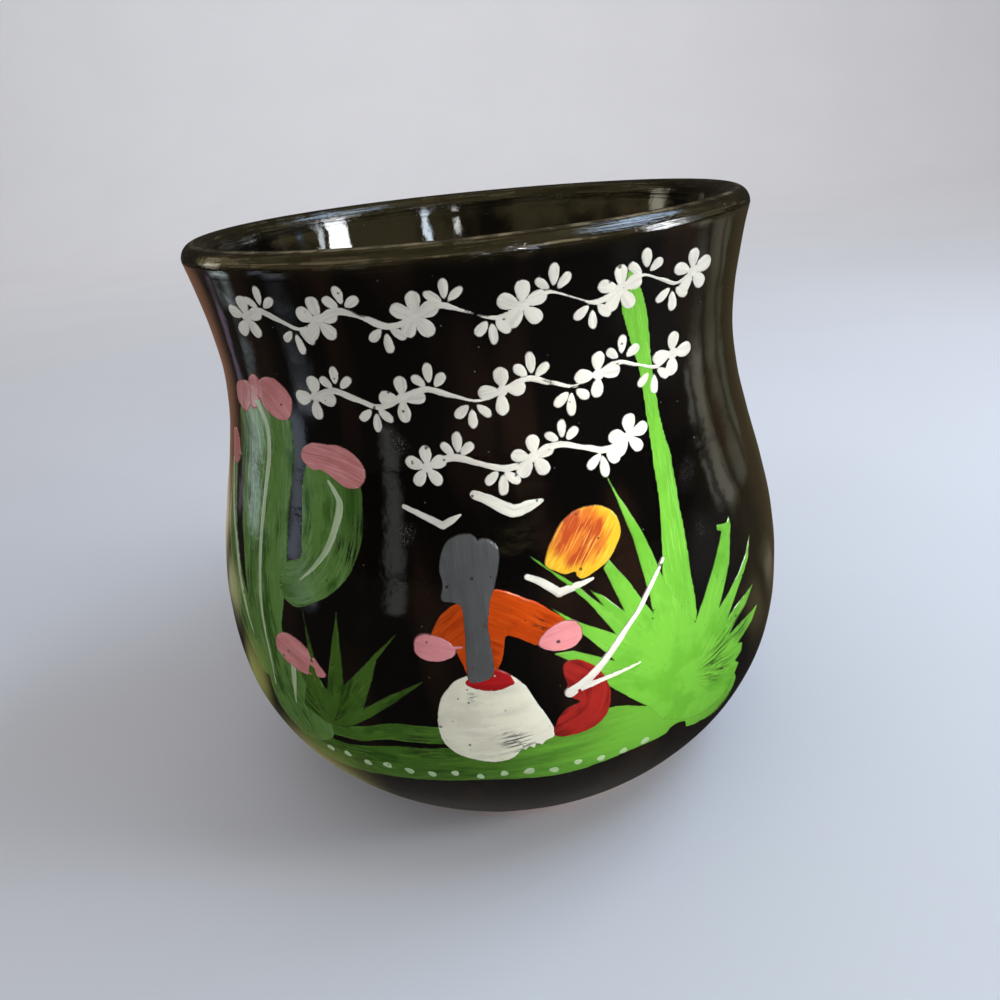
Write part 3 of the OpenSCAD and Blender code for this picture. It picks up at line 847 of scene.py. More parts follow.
@dataclass
class Mark:
    """One mark of the brush: how deep a flat point lies inside it, and where along and across."""

    tip: Tip = Tip.WET

    def reach(self, form: PotForm) -> tuple[np.ndarray, float]:
        """Flat points of the mark, and how far it spreads past them."""
        raise NotImplementedError

    def box(self, form: PotForm, margin: float) -> Box:
        """The flat box round the mark.

        Args:
            form: The pot it is painted on.
            margin: Bare room round the mark.

        Returns:
            Lowest and highest x, lowest and highest z.
        """
        points, past = self.reach(form)
        (x0, z0), (x1, z1) = points.min(0) - past - margin, points.max(0) + past + margin
        return x0, x1, z0, z1

    def field(self, form: PotForm, x: np.ndarray, z: np.ndarray) -> Field:
        """The depth inside the mark, and the lengths along and across it."""
        raise NotImplementedError


@dataclass
class Patch(Mark):
    """A filled patch: the edge it was filled up to, and the line that the brush followed."""

    edge: list[Place] = field(default_factory=list)
    spine: list[Place] = field(default_factory=list)
    sharp: bool = False

    def outline(self, form: PotForm) -> np.ndarray:
        """The edge as a closed curve, or straight from point to point where it is sharp."""
        points = [form.flat(p) for p in self.edge]
        return np.array(points) if self.sharp else curve_through(points, True, 6)

    def reach(self, form: PotForm) -> tuple[np.ndarray, float]:
        """The edge, which nothing spreads past."""
        return self.outline(form), 0.0

    def depth(self, form: PotForm, x: np.ndarray, z: np.ndarray) -> np.ndarray:
        """How deep flat points lie inside the edge.

        Args:
            form: The pot it is painted on.
            x: Flat x of the points.
            z: Their height.

        Returns:
            The depths, below zero outside.
        """
        edge = self.outline(form)
        far = along_line(np.vstack([edge, edge[:1]]), x, z)[2]
        inside = np.zeros(x.shape, bool)
        for a, b in zip(edge, np.roll(edge, -1, 0)):
            if a[1] == b[1]:
                continue
            crosses = (a[1] > z) != (b[1] > z)
            inside ^= crosses & (x < a[0] + (z - a[1]) * (b[0] - a[0]) / (b[1] - a[1]))
        return np.where(inside, far, -far)

    def field(self, form: PotForm, x: np.ndarray, z: np.ndarray) -> Field:
        """How flat points lie in the patch.

        Args:
            form: The pot it is painted on.
            x: Flat x of the points.
            z: Their height.

        Returns:
            The depth inside the edge, and the lengths along and across the spine.
        """
        line = curve_through([form.flat(p) for p in self.spine], False)
        along, across, _ = along_line(line, x, z)
        return self.depth(form, x, z), along, across


@dataclass
class Fan(Patch):
    """A patch of many strokes that were all drawn outwards from one hub."""

    sharp: bool = True
    hub: Place = (0.0, 0.0)
    spoke: float = 11.0

    def field(self, form: PotForm, x: np.ndarray, z: np.ndarray) -> Field:
        """How flat points lie in the fan.

        Args:
            form: The pot it is painted on.
            x: Flat x of the points.
            z: Their height.

        Returns:
            The depth inside the edge, the length from the hub and the turn round it as a length on the spoke.
        """
        middle = form.flat(self.hub)
        depth = self.depth(form, x, z)
        turn = np.arctan2(z - middle[1] + 1e-6, x - middle[0])
        return depth, np.hypot(x - middle[0], z - middle[1]), turn * self.spoke


@dataclass
class Stroke(Mark):
    """A stroke along a line of places, with its width at each."""

    line: list[Place] = field(default_factory=list)
    widths: list[float] = field(default_factory=list)
    bends: int = 8

    def path(self, form: PotForm) -> tuple[np.ndarray, np.ndarray]:
        """Draws the smooth line.

        Args:
            form: The pot it is painted on.

        Returns:
            The line's points, and its width at each.
        """
        line = curve_through([form.flat(p) for p in self.line], False, self.bends)
        widths = np.interp(np.linspace(0, len(self.widths) - 1, len(line)), range(len(self.widths)), self.widths)
        return line, widths

    def reach(self, form: PotForm) -> tuple[np.ndarray, float]:
        """The line, and half its greatest width."""
        line, widths = self.path(form)
        return line, widths.max() / 2

    def field(self, form: PotForm, x: np.ndarray, z: np.ndarray) -> Field:
        """How flat points lie in the stroke.

        Args:
            form: The pot it is painted on.
            x: Flat x of the points.
            z: Their height.

        Returns:
            The depth inside the stroke, and the lengths along and across it.
        """
        line, widths = self.path(form)
        along, across, far = along_line(line, x, z)
        runs = np.concatenate([[0.0], np.cumsum(np.hypot(*np.diff(line, axis=0).T))])
        return np.interp(along, runs, widths) / 2 - far, along, across


@dataclass
class Daub(Mark):
    """An egg-shaped daub, blunt towards its turned +x end."""

    middle: np.ndarray = field(default_factory=lambda: np.zeros(2))
    length: float = 4.0
    width: float = 3.0
    tilt: float = 0.0

    def reach(self, form: PotForm) -> tuple[np.ndarray, float]:
        """The middle, and half the daub's greatest size."""
        return self.middle[None], max(self.length, self.width * 1.2) / 2

    def field(self, form: PotForm, x: np.ndarray, z: np.ndarray) -> Field:
        """How flat points lie in the daub.

        Args:
            form: The pot it is painted on.
            x: Flat x of the points.
            z: Their height.

        Returns:
            The depth inside the daub, and the lengths along and across it.
        """
        c, s = math.cos(math.radians(self.tilt)), math.sin(math.radians(self.tilt))
        dx, dz = x - self.middle[0], z - self.middle[1]
        along, across = dx * c + dz * s, dz * c - dx * s
        half_l, half_w = self.length / 2, self.width / 2
        full = 1 + 0.25 * np.clip(along / half_l, -1, 1)
        far = np.hypot(along / half_l, across / (half_w * full))
        return (1 - far) * min(half_l, half_w), along, across


@dataclass
class Coat:
    """One coat of enamel: a raised film that follows its marks and sinks into the glaze round them.

    The film's body, the width of its edge, the bead along it and the ridges of the bristles are in millimetres, as
    are the cells of its mesh and the room round its marks. It lies between sunk and ceiling over the glaze.
    """

    node: str
    slot: str
    finish: Enamel
    marks: list[Mark]
    tier: Tier = Tier.FIRST
    body: float = 0.045
    edge: float = 0.22
    bead: float = 0.010
    ridge: float = 0.012
    ragged: float = 0.14
    cell: float = 0.20
    pinholes: int = 6
    seed: int = 1
    sunk: float = -0.48
    slope: float = 1.4
    margin: float = 0.6
    ceiling: float = 0.29
    thickness: float = 0.14
    bristle_step: float = 7.3
    number_step: float = 1.37

    def relief(self, mark: Mark, lies: Field, x: np.ndarray, z: np.ndarray, grain: Grain) -> np.ndarray:
        """Height of one mark above the glaze.

        Args:
            mark: The mark.
            lies: How deep inside it each point lies, and how far along and across it.
            x: The points' flat x.
            z: Their height on the pot.
            grain: The coat's noise.

        Returns:
            The heights, below zero where there is no paint.
        """
        depth, along, across = lies
        bristle = grain(along * 0.30 + 5.0, across * 2.8 + 9.0)
        wobble = (grain(x * 0.45, z * 0.45) - 0.5) + 0.6 * (grain(x * 1.5 + 3.0, z * 1.5) - 0.5)
        depth = depth + self.ragged * (wobble + 0.35 * (grain(x * 3.6, z * 3.6 + 5.0) - 0.5))
        if mark.tip is Tip.DRY:
            last = np.clip(along / max(along.max(), 1e-6) * 1.6 - 0.75, 0, 1)
            depth = depth - last * np.clip(bristle - 0.35, 0, 1) * 1.5
        inside = np.maximum(depth, 0)
        film = self.body * (1 - np.exp(-inside / self.edge))
        film = film + self.bead * np.exp(-(((inside - self.edge) / self.edge) ** 2))
        film = film + self.ridge * (bristle - 0.5) * np.clip(inside / self.edge, 0, 1)
        return self.tier.value + np.where(depth > 0, film, self.bead * 0.37 + self.slope * depth)

    def lay(self, form: PotForm) -> None:
        """Lays the coat on the pot as one closed film.

        Args:
            form: The pot it is painted on.
        """
        boxes = np.array([mark.box(form, self.margin) for mark in self.marks])
        x0, x1, z0, z1 = boxes[:, 0].min(), boxes[:, 1].max(), boxes[:, 2].min(), boxes[:, 3].max()
        wide, tall = x1 - x0, z1 - z0
        from_scratch()
        bpy.ops.mesh.primitive_grid_add(
            x_subdivisions=max(2, round(wide / self.cell)), y_subdivisions=max(2, round(tall / self.cell)), size=1.0
        )
        mesh = bpy.context.object.data
        at = corners(mesh)
        x, z = x0 + (at[:, 0] + 0.5) * wide, z0 + (at[:, 1] + 0.5) * tall
        lift = np.full(x.shape, self.sunk)
        brush = np.zeros((len(x), 3))
        grain = Grain(self.seed)
        for i, (mark, b) in enumerate(zip(self.marks, boxes)):
            near = np.flatnonzero((x > b[0]) & (x < b[1]) & (z > b[2]) & (z < b[3]))
            depth, along, across = mark.field(form, x[near], z[near])
            shift = i * self.bristle_step  # No two marks have the same bristles
            height = self.relief(mark, (depth, along + shift, across + shift), x[near], z[near], grain)
            over = height > lift[near]
            lift[near[over]] = height[over]
            brush[near[over]] = np.stack([along, across, np.full(len(near), i * self.number_step + self.seed)], 1)[over]
        lift = np.clip(self.prick(x, z, lift), self.sunk, self.ceiling)
        film = np.clip((lift - self.tier.value) / self.body, 0, 1)
        move_corners(mesh, form.wrap(x, z, lift))
        strokes = mesh.attributes.new("brush", "FLOAT_VECTOR", "POINT")
        strokes.data.foreach_set("vector", brush.astype(np.float32).ravel())
        mesh.attributes.new("film", "FLOAT", "POINT").data.foreach_set("value", film.astype(np.float32))
        self.trim(mesh, lift)
        thick = bpy.context.object.modifiers.new("thick", "SOLIDIFY")
        thick.thickness = self.thickness * MM
        thick.offset = -1.0
        bpy.ops.object.modifier_apply(modifier=thick.name)
        hand_over(name_piece(self.node.replace("_paint", "_enamel"), self.finish.material()), self.slot, self.node)

    def prick(self, x: np.ndarray, z: np.ndarray, lift: np.ndarray) -> np.ndarray:
        """Pricks a few round pinholes where bubbles burst.

        Args:
            x: Flat x of the points.
            z: Their height.
            lift: The relief.

        Returns:
            The pricked relief.
        """
        dice = np.random.default_rng(self.seed + 100)
        painted = np.flatnonzero(lift > self.tier.value + self.body * 0.8)
        if not len(painted):
            return lift
        for i in dice.choice(painted, self.pinholes):
            size = dice.uniform(0.12, 0.24)
            dent = np.exp(-(((x - x[i]) ** 2 + (z - z[i]) ** 2) / size ** 2))
            lift = lift - dent * dice.uniform(0.5, 1.0) * (self.tier.value + self.body)
        return lift

    def trim(self, mesh: bpy.types.Mesh, lift: np.ndarray) -> None:
        """Takes away the part of the sheet that lies sunk in the glaze.

        Args:
            mesh: The sheet.
            lift: Its relief.
        """
        sunk = lift <= self.sunk + 1e-4
        ends = np.empty(len(mesh.polygons) * 4, np.int32)
        mesh.polygons.foreach_get("vertices", ends)
        bpy.ops.object.mode_set(mode="EDIT")
        bpy.ops.mesh.select_mode(type="FACE")
        bpy.ops.mesh.select_all(action="DESELECT")
        bpy.ops.object.mode_set(mode="OBJECT")
        mesh.polygons.foreach_set("select", sunk[ends.reshape(-1, 4)].all(1))
        bpy.ops.object.mode_set(mode="EDIT")
        bpy.ops.mesh.delete(type="FACE")
        bpy.ops.mesh.select_all(action="SELECT")
        bpy.ops.mesh.delete_loose()
        bpy.ops.object.mode_set(mode="OBJECT")


# Sub-assemblies


@dataclass
class ThrownPot:
    """The thrown pot: its clay, and the glaze over all but the foot.

    The glaze's lower edge wanders up to a height, in waves: how many go round the pot, their turn and their height.
    """

    form: PotForm
    sides: int = 256
    wander_top: float = 5.0
    waves: tuple[tuple[int, float, float], ...] = ((5, 0.6, 0.30), (13, 0.0, 0.18), (29, 2.0, 0.08))

    def build(self) -> None:
        """Makes the clay and the glaze."""
        self.clay()
        self.glaze()

    def clay(self) -> None:
        """Throws the clay, foot to lip, with its bare foot."""
        form, t = self.form, self.form.glaze
        rim = float(form.radius(form.foot_bevel)) - t
        outline = [(0.0, 0.0), (rim * 0.35, 0.0), (rim * 0.7, 0.0), (rim - form.foot_bevel - 0.5, 0.0)]
        outline += [(rim - form.foot_bevel, 0.02), (rim - form.foot_bevel * 0.4, 0.22), (rim - 0.08, 0.5)]
        outline += form.wall_line(t, form.foot_bevel, 60) + form.lip_arc(t, 10) + form.bowl_line(t, 24)
        outline += [(0.0, 0.0)]
        lathe(outline, self.sides)
        piece = name_piece("thrown_clay_pot", Terracotta("terracotta").material())
        self.form.settle(piece.data)
        hand_over(piece, "terracotta", "clay_body")

    def glaze(self) -> None:
        """Pours the glaze as one coat, from its uneven edge over the foot across the lip to the bowl's floor."""
        form, t = self.form, self.form.glaze
        low = form.bare_strip
        r = float(form.radius(low))
        outline = [(r - t + 0.02, low - 0.25), (r - 0.22, low - 0.28), (r - 0.06, low - 0.10), (r, low + 0.2)]
        outline += form.wall_line(0.0, low + 0.7, 96) + form.lip_arc(0.0, 26) + form.bowl_line(0.0, 44)
        back = form.wall_line(t - 0.04, low + 0.7, 20) + form.lip_arc(t - 0.04, 8) + form.bowl_line(t - 0.04, 18)
        outline += back[::-1] + outline[:1]
        lathe(outline, self.sides)
        piece = name_piece("black_glaze_coat", BlackGlaze().material())
        self.form.settle(piece.data)
        self.run_down(piece.data)
        hand_over(piece, "black_glaze", "outer_glaze", "inner_glaze")

    def run_down(self, mesh: bpy.types.Mesh) -> None:
        """Lets the glaze's lower edge wander over the foot.

        Args:
            mesh: The glaze's mesh.
        """
        at = corners(mesh) / MM
        turn = np.arctan2(at[:, 0], -at[:, 1])
        outside = np.hypot(at[:, 0], at[:, 1]) > self.form.true_floor
        near = np.clip((self.wander_top - at[:, 2]) / 3.4, 0, 1) * outside
        at[:, 2] += near * sum(np.sin(count * turn + shift) * height for count, shift, height in self.waves)
        move_corners(mesh, at * MM)


@dataclass
class StrapHandle:
    """The pulled strap at the back, with the slip worked round its roots and the glaze over all."""

    form: PotForm
    top_height: float = 78.0
    low_height: float = 36.0
    reach: float = 30.0
    rise: float = 9.0
    drop: float = 3.0
    top_width: float = 20.0
    low_width: float = 15.0
    top_thickness: float = 9.0
    low_thickness: float = 7.0
    slip_spread: float = 2.4
    slip_climb: float = 7.0
    root_depth: float = 2.6
    square: float = 2.4
    within: float = 0.16
    groove: float = 0.26
    groove_place: float = 0.38
    groove_width: float = 0.16
    sides: int = 72
    stations: int = 96

    def pulls(self) -> list[np.ndarray]:
        """Where the strap's middle line is drawn from.

        Returns:
            Its four points as y and z.
        """
        inset = self.form.glaze + self.root_depth
        start = np.array([float(self.form.radius(self.top_height)) - inset, self.top_height])
        end = np.array([float(self.form.radius(self.low_height)) - inset, self.low_height])
        middle = self.form.belly / 2 + self.reach - (self.top_thickness + self.low_thickness) / 4
        out = (middle - (start[0] + end[0]) / 8) * 4 / 3
        return [start, np.array([out, self.top_height + self.rise]), np.array([out, self.low_height - self.drop]), end]

    def at(self, t: float) -> tuple[np.ndarray, float]:
        """Follows the middle line.

        Args:
            t: Share of its run.

        Returns:
            The point as y and z, and the angle that the line runs at.
        """
        p = self.pulls()
        point = (1 - t) ** 3 * p[0] + 3 * t * (1 - t) ** 2 * p[1] + 3 * t * t * (1 - t) * p[2] + t ** 3 * p[3]
        run = 3 * (1 - t) ** 2 * (p[1] - p[0]) + 6 * t * (1 - t) * (p[2] - p[1]) + 3 * t * t * (p[3] - p[2])
        return point, math.atan2(run[1], run[0])

    def halves(self, t: float) -> tuple[float, float]:
        """How far the glazed strap reaches to each side of its middle line.

        Args:
            t: Share of its run.

        Returns:
            Half its width and half its thickness.
        """
        p = self.pulls()
        reach = self.root_depth + self.slip_climb
        start_t = reach / float(np.linalg.norm(3 * (p[1] - p[0])))
        end_t = reach / float(np.linalg.norm(3 * (p[3] - p[2])))
        from_root = min(t / start_t, (1 - t) / end_t)
        share = 0.0 if from_root >= 1 else min(1.0, ((1 - from_root) * reach / self.slip_climb) ** 2)
        margin = self.form.glaze + self.slip_spread * share - self.within
        half_w = (self.top_width + (self.low_width - self.top_width) * t) / 2 + margin
        half_t = (self.top_thickness + (self.low_thickness - self.top_thickness) * t) / 2 + margin
        return half_w, half_t

    def section(self) -> np.ndarray:
        """Draws the first ring, with two shallow grooves of the potter's fingers along its back.

        Returns:
            The ring's points as rows of x, y and z.
        """
        half_w, half_t = self.halves(0.0)
        a = np.linspace(0, math.tau, self.sides, endpoint=False)
        bend = 2 / self.square
        side = np.sign(np.cos(a)) * np.abs(np.cos(a)) ** bend
        lift = np.sign(np.sin(a)) * np.abs(np.sin(a)) ** bend
        places = (self.groove_place, -self.groove_place)
        fingers = sum(np.exp(-(((side - place) / self.groove_width) ** 2)) for place in places)
        dent = self.groove * np.clip(lift, 0, 1) * fingers
        return np.stack([side * half_w, np.zeros(len(a)), lift * half_t - dent], 1)

    def build(self) -> None:
        """Sweeps the glazed strap and dresses the clay under it."""
        from_scratch()
        bpy.ops.mesh.primitive_circle_add(vertices=self.sides, radius=MM, fill_type="NOTHING")
        move_corners(bpy.context.object.data, self.section() * MM)
        edit("EDGE")
        start, tip = self.at(0.0)
        bpy.ops.transform.translate(value=(0, start[0] * MM, start[1] * MM))
        self.turn(tip, start)
        for i in range(1, self.stations + 1):
            self.pull((i - 1) / self.stations, i / self.stations)
        bpy.ops.mesh.select_all(action="SELECT")
        bpy.ops.mesh.fill_holes(sides=0)
        end_edit()
        hand_over(name_piece("glazed_strap_handle", BlackGlaze().material()), "black_glaze", "handle_glaze")
        clay = Terracotta("handle_clay").material()
        slip = Terracotta("joint_slip", clay=(0.40, 0.17, 0.085)).material()
        for name, material in (("clay_handle", clay), ("upper_slip_joint", slip), ("lower_slip_joint", slip)):
            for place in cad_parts[name].material_slots:
                place.link = "OBJECT"
                place.material = material

    def turn(self, angle: float, centre: np.ndarray) -> None:
        """Turns the selected ring about the X axis; with no window the tool turns the other way."""
        bpy.ops.transform.rotate(value=-angle, orient_axis="X", center_override=(0, centre[0] * MM, centre[1] * MM))

    def pull(self, before: float, after: float) -> None:
        """Pulls the strap on.

        Args:
            before: Share of its run that it has reached.
            after: Share of its run that it is pulled to.
        """
        (a, tip_a), (b, tip_b) = self.at(before), self.at(after)
        (wide_a, thick_a), (wide_b, thick_b) = self.halves(before), self.halves(after)
        step = (b - a) * MM
        bpy.ops.mesh.extrude_edges_move(TRANSFORM_OT_translate={"value": (0, step[0], step[1])})
        self.turn(tip_b - tip_a, b)
        bpy.ops.transform.resize(
            value=(wide_b / wide_a, thick_b / thick_a, thick_b / thick_a),
            center_override=(0, b[0] * MM, b[1] * MM),
        )


@dataclass
class Cactus:
    """The column cactus with a limb and a pad, its veins and its blossoms."""

    form: PotForm
    vein_width: float = 0.95

    def build(self) -> None:
        """Paints the cactus."""
        self.flesh()
        self.veins()
        self.blossoms()

    def flesh(self) -> None:
        """Limb, column and pad."""
        column = Patch(
            edge=[
                (-57, 0.765), (-58.8, 0.71), (-58.3, 0.66), (-57.6, 0.626), (-56.8, 0.587), (-55.7, 0.548),
                (-54.5, 0.509), (-53.1, 0.457), (-51.1, 0.404), (-49.1, 0.339), (-48, 0.27), (-41, 0.24),
                (-34, 0.27), (-33, 0.324), (-33.8, 0.386), (-41.6, 0.438), (-41.1, 0.494), (-40.7, 0.53),
                (-40.2, 0.56), (-40.1, 0.612), (-39.5, 0.661), (-38.6, 0.695), (-38.2, 0.733), (-38.4, 0.768),
                (-42.7, 0.78), (-48, 0.785), (-53, 0.785),
            ],
            spine=[(-42, 0.25), (-46, 0.36), (-48.3, 0.50), (-48.3, 0.62), (-47, 0.72), (-47.5, 0.82)],
        )
        pad = Patch(
            edge=[
                (-35.4, 0.703), (-36.4, 0.651), (-36.5, 0.599), (-36.9, 0.57), (-40.4, 0.558), (-42.5, 0.54),
                (-42.4, 0.51), (-40.2, 0.498), (-37.6, 0.495), (-33.9, 0.508), (-30, 0.528), (-26.8, 0.554),
                (-24.8, 0.581), (-23.6, 0.614), (-23.2, 0.649), (-23.3, 0.68), (-24.8, 0.70), (-30.1, 0.712),
            ],
            spine=[(-44, 0.52), (-37, 0.525), (-31.5, 0.565), (-29, 0.63), (-29.5, 0.74)],
        )
        limb = Patch(
            edge=[
                (-64.8, 0.68), (-66.3, 0.62), (-65.6, 0.56), (-63, 0.50), (-60.6, 0.445), (-58, 0.398),
                (-54.3, 0.365), (-51, 0.335), (-47.8, 0.35), (-50.1, 0.413), (-52.4, 0.446), (-54.8, 0.482),
                (-58.1, 0.528), (-60.4, 0.576), (-61.6, 0.624), (-61.9, 0.675),
            ],
            spine=[(-63.5, 0.70), (-63.8, 0.60), (-60.5, 0.50), (-55, 0.415), (-49, 0.33)],
        )
        green = TwoToneEnamel(
            "cactus_green_enamel", base=(0.122, 0.245, 0.050), deep=(0.034, 0.100, 0.010), pale=(0.23, 0.38, 0.15),
            streaks=0.95, ridges=0.55, bare=0.25, lanes=1.0, second=(0.036, 0.095, 0.011), start=-24.5, end=-19.5,
            share=0.70,
            dry=(
                Scuff((-21.5, -43.4, 59.3), 3.6, 0.9), Scuff((-18.9, -43.6, 63.0), 2.6, 0.8),
                Scuff((-19.5, -43.0, 68.0), 1.8, 0.6),
            ),
        )
        marks = [limb, column, pad]
        Coat("cactus_paint", "cactus_green_enamel", green, marks, Tier.SECOND, seed=11, pinholes=9).lay(self.form)

    def veins(self) -> None:
        """Pale lines down the middle of each part."""
        lines = [
            (
                [
                    (-48.2, 0.785), (-45.7, 0.75), (-45.9, 0.704), (-47.5, 0.64), (-48.3, 0.576), (-48.4, 0.515),
                    (-47.9, 0.453), (-46.7, 0.389), (-47, 0.327),
                ],
                (1.5, 1.0, 0.85, 0.8, 0.8, 0.75, 0.65, 0.5, 0.2),
            ),
            (
                [
                    (-30, 0.688), (-28.1, 0.667), (-27.8, 0.653), (-28.8, 0.624), (-30.5, 0.593), (-33.3, 0.564),
                    (-36.8, 0.538),
                ],
                (0.5, 0.95, 1.15, 1.15, 1.0, 0.65, 0.2),
            ),
            (
                [(-64.1, 0.668), (-62.8, 0.598), (-58.9, 0.527), (-55.8, 0.47), (-53.8, 0.431), (-51.6, 0.40)],
                (0.6, 0.75, 0.85, 0.8, 0.6, 0.2),
            ),
            ([(-39.8, 0.392), (-40.6, 0.353), (-41.4, 0.314)], (1.1, 0.95, 0.2)),
        ]
        veins = [Stroke(line=line, widths=[self.vein_width * w for w in widths]) for line, widths in lines]
        pale = Enamel(
            "pale_green_enamel", base=(0.50, 0.60, 0.36), deep=(0.26, 0.38, 0.16), pale=(0.68, 0.76, 0.55),
            streaks=0.5, bare=0.2, lanes=3.0,
        )
        Coat(
            "cactus_veins_paint", "pale_green_enamel", pale, veins, Tier.THIRD, edge=0.14, ragged=0.10,
            cell=0.14, pinholes=2, seed=12,
        ).lay(self.form)

    def blossoms(self) -> None:
        """Dusty pink blossoms at the tips."""
        lobes = [
            Patch(
                edge=[
                    (-56.5, 0.802), (-58, 0.777), (-55.8, 0.764), (-53, 0.763), (-50.3, 0.783), (-49.3, 0.809),
                    (-52.5, 0.812),
                ],
                spine=[(-55.5, 0.75), (-52.5, 0.82)],
            ),
            Patch(
                edge=[
                    (-45.6, 0.819), (-41.3, 0.826), (-38.3, 0.814), (-37, 0.797), (-37.9, 0.775), (-39.6, 0.766),
                    (-42.6, 0.767), (-45.7, 0.777), (-46.9, 0.794),
                ],
                spine=[(-46.5, 0.82), (-41.5, 0.80), (-37.5, 0.765)],
            ),
            Patch(
                edge=[
                    (-35.6, 0.73), (-33.2, 0.739), (-30.2, 0.739), (-26.9, 0.738), (-24.4, 0.729), (-22.6, 0.712),
                    (-22.5, 0.695), (-23.9, 0.682), (-26.4, 0.682), (-28.5, 0.691), (-31.3, 0.701),
                    (-33.7, 0.701), (-35.7, 0.71), (-36.3, 0.72),
                ],
                spine=[(-37, 0.722), (-32, 0.72), (-27, 0.712), (-22, 0.695)],
            ),
            Patch(
                edge=[
                    (-64.5, 0.712), (-62.5, 0.722), (-60.5, 0.712), (-59, 0.689), (-60.1, 0.674), (-62.6, 0.664),
                    (-64.6, 0.68),
                ],
                spine=[(-62.8, 0.73), (-61, 0.66)],
            ),
            Patch(
                edge=[
                    (-43.9, 0.426), (-42.7, 0.439), (-40.3, 0.444), (-37.4, 0.439), (-35.2, 0.428),
                    (-33.7, 0.413), (-32.2, 0.394), (-35.3, 0.386), (-39.1, 0.386), (-42.2, 0.396), (-44, 0.41),
                ],
                spine=[(-45, 0.425), (-39, 0.415), (-32, 0.392)],
            ),
            Patch(
                edge=[
                    (-49.7, 0.818), (-51, 0.797), (-50.9, 0.773), (-48.2, 0.776), (-46.2, 0.803), (-45.9, 0.821),
                    (-47.5, 0.826),
                ],
                spine=[(-49.5, 0.765), (-47.5, 0.83)],
            ),
        ]
        pink = Enamel(
            "dusty_pink_enamel", base=(0.68, 0.255, 0.245), deep=(0.50, 0.160, 0.145), pale=(0.84, 0.41, 0.40),
            ridges=0.6, lanes=1.6,
        )
        Coat(
            "cactus_blossoms_paint", "dusty_pink_enamel", pink, lobes, Tier.THIRD, cell=0.18, seed=13
        ).lay(self.form)


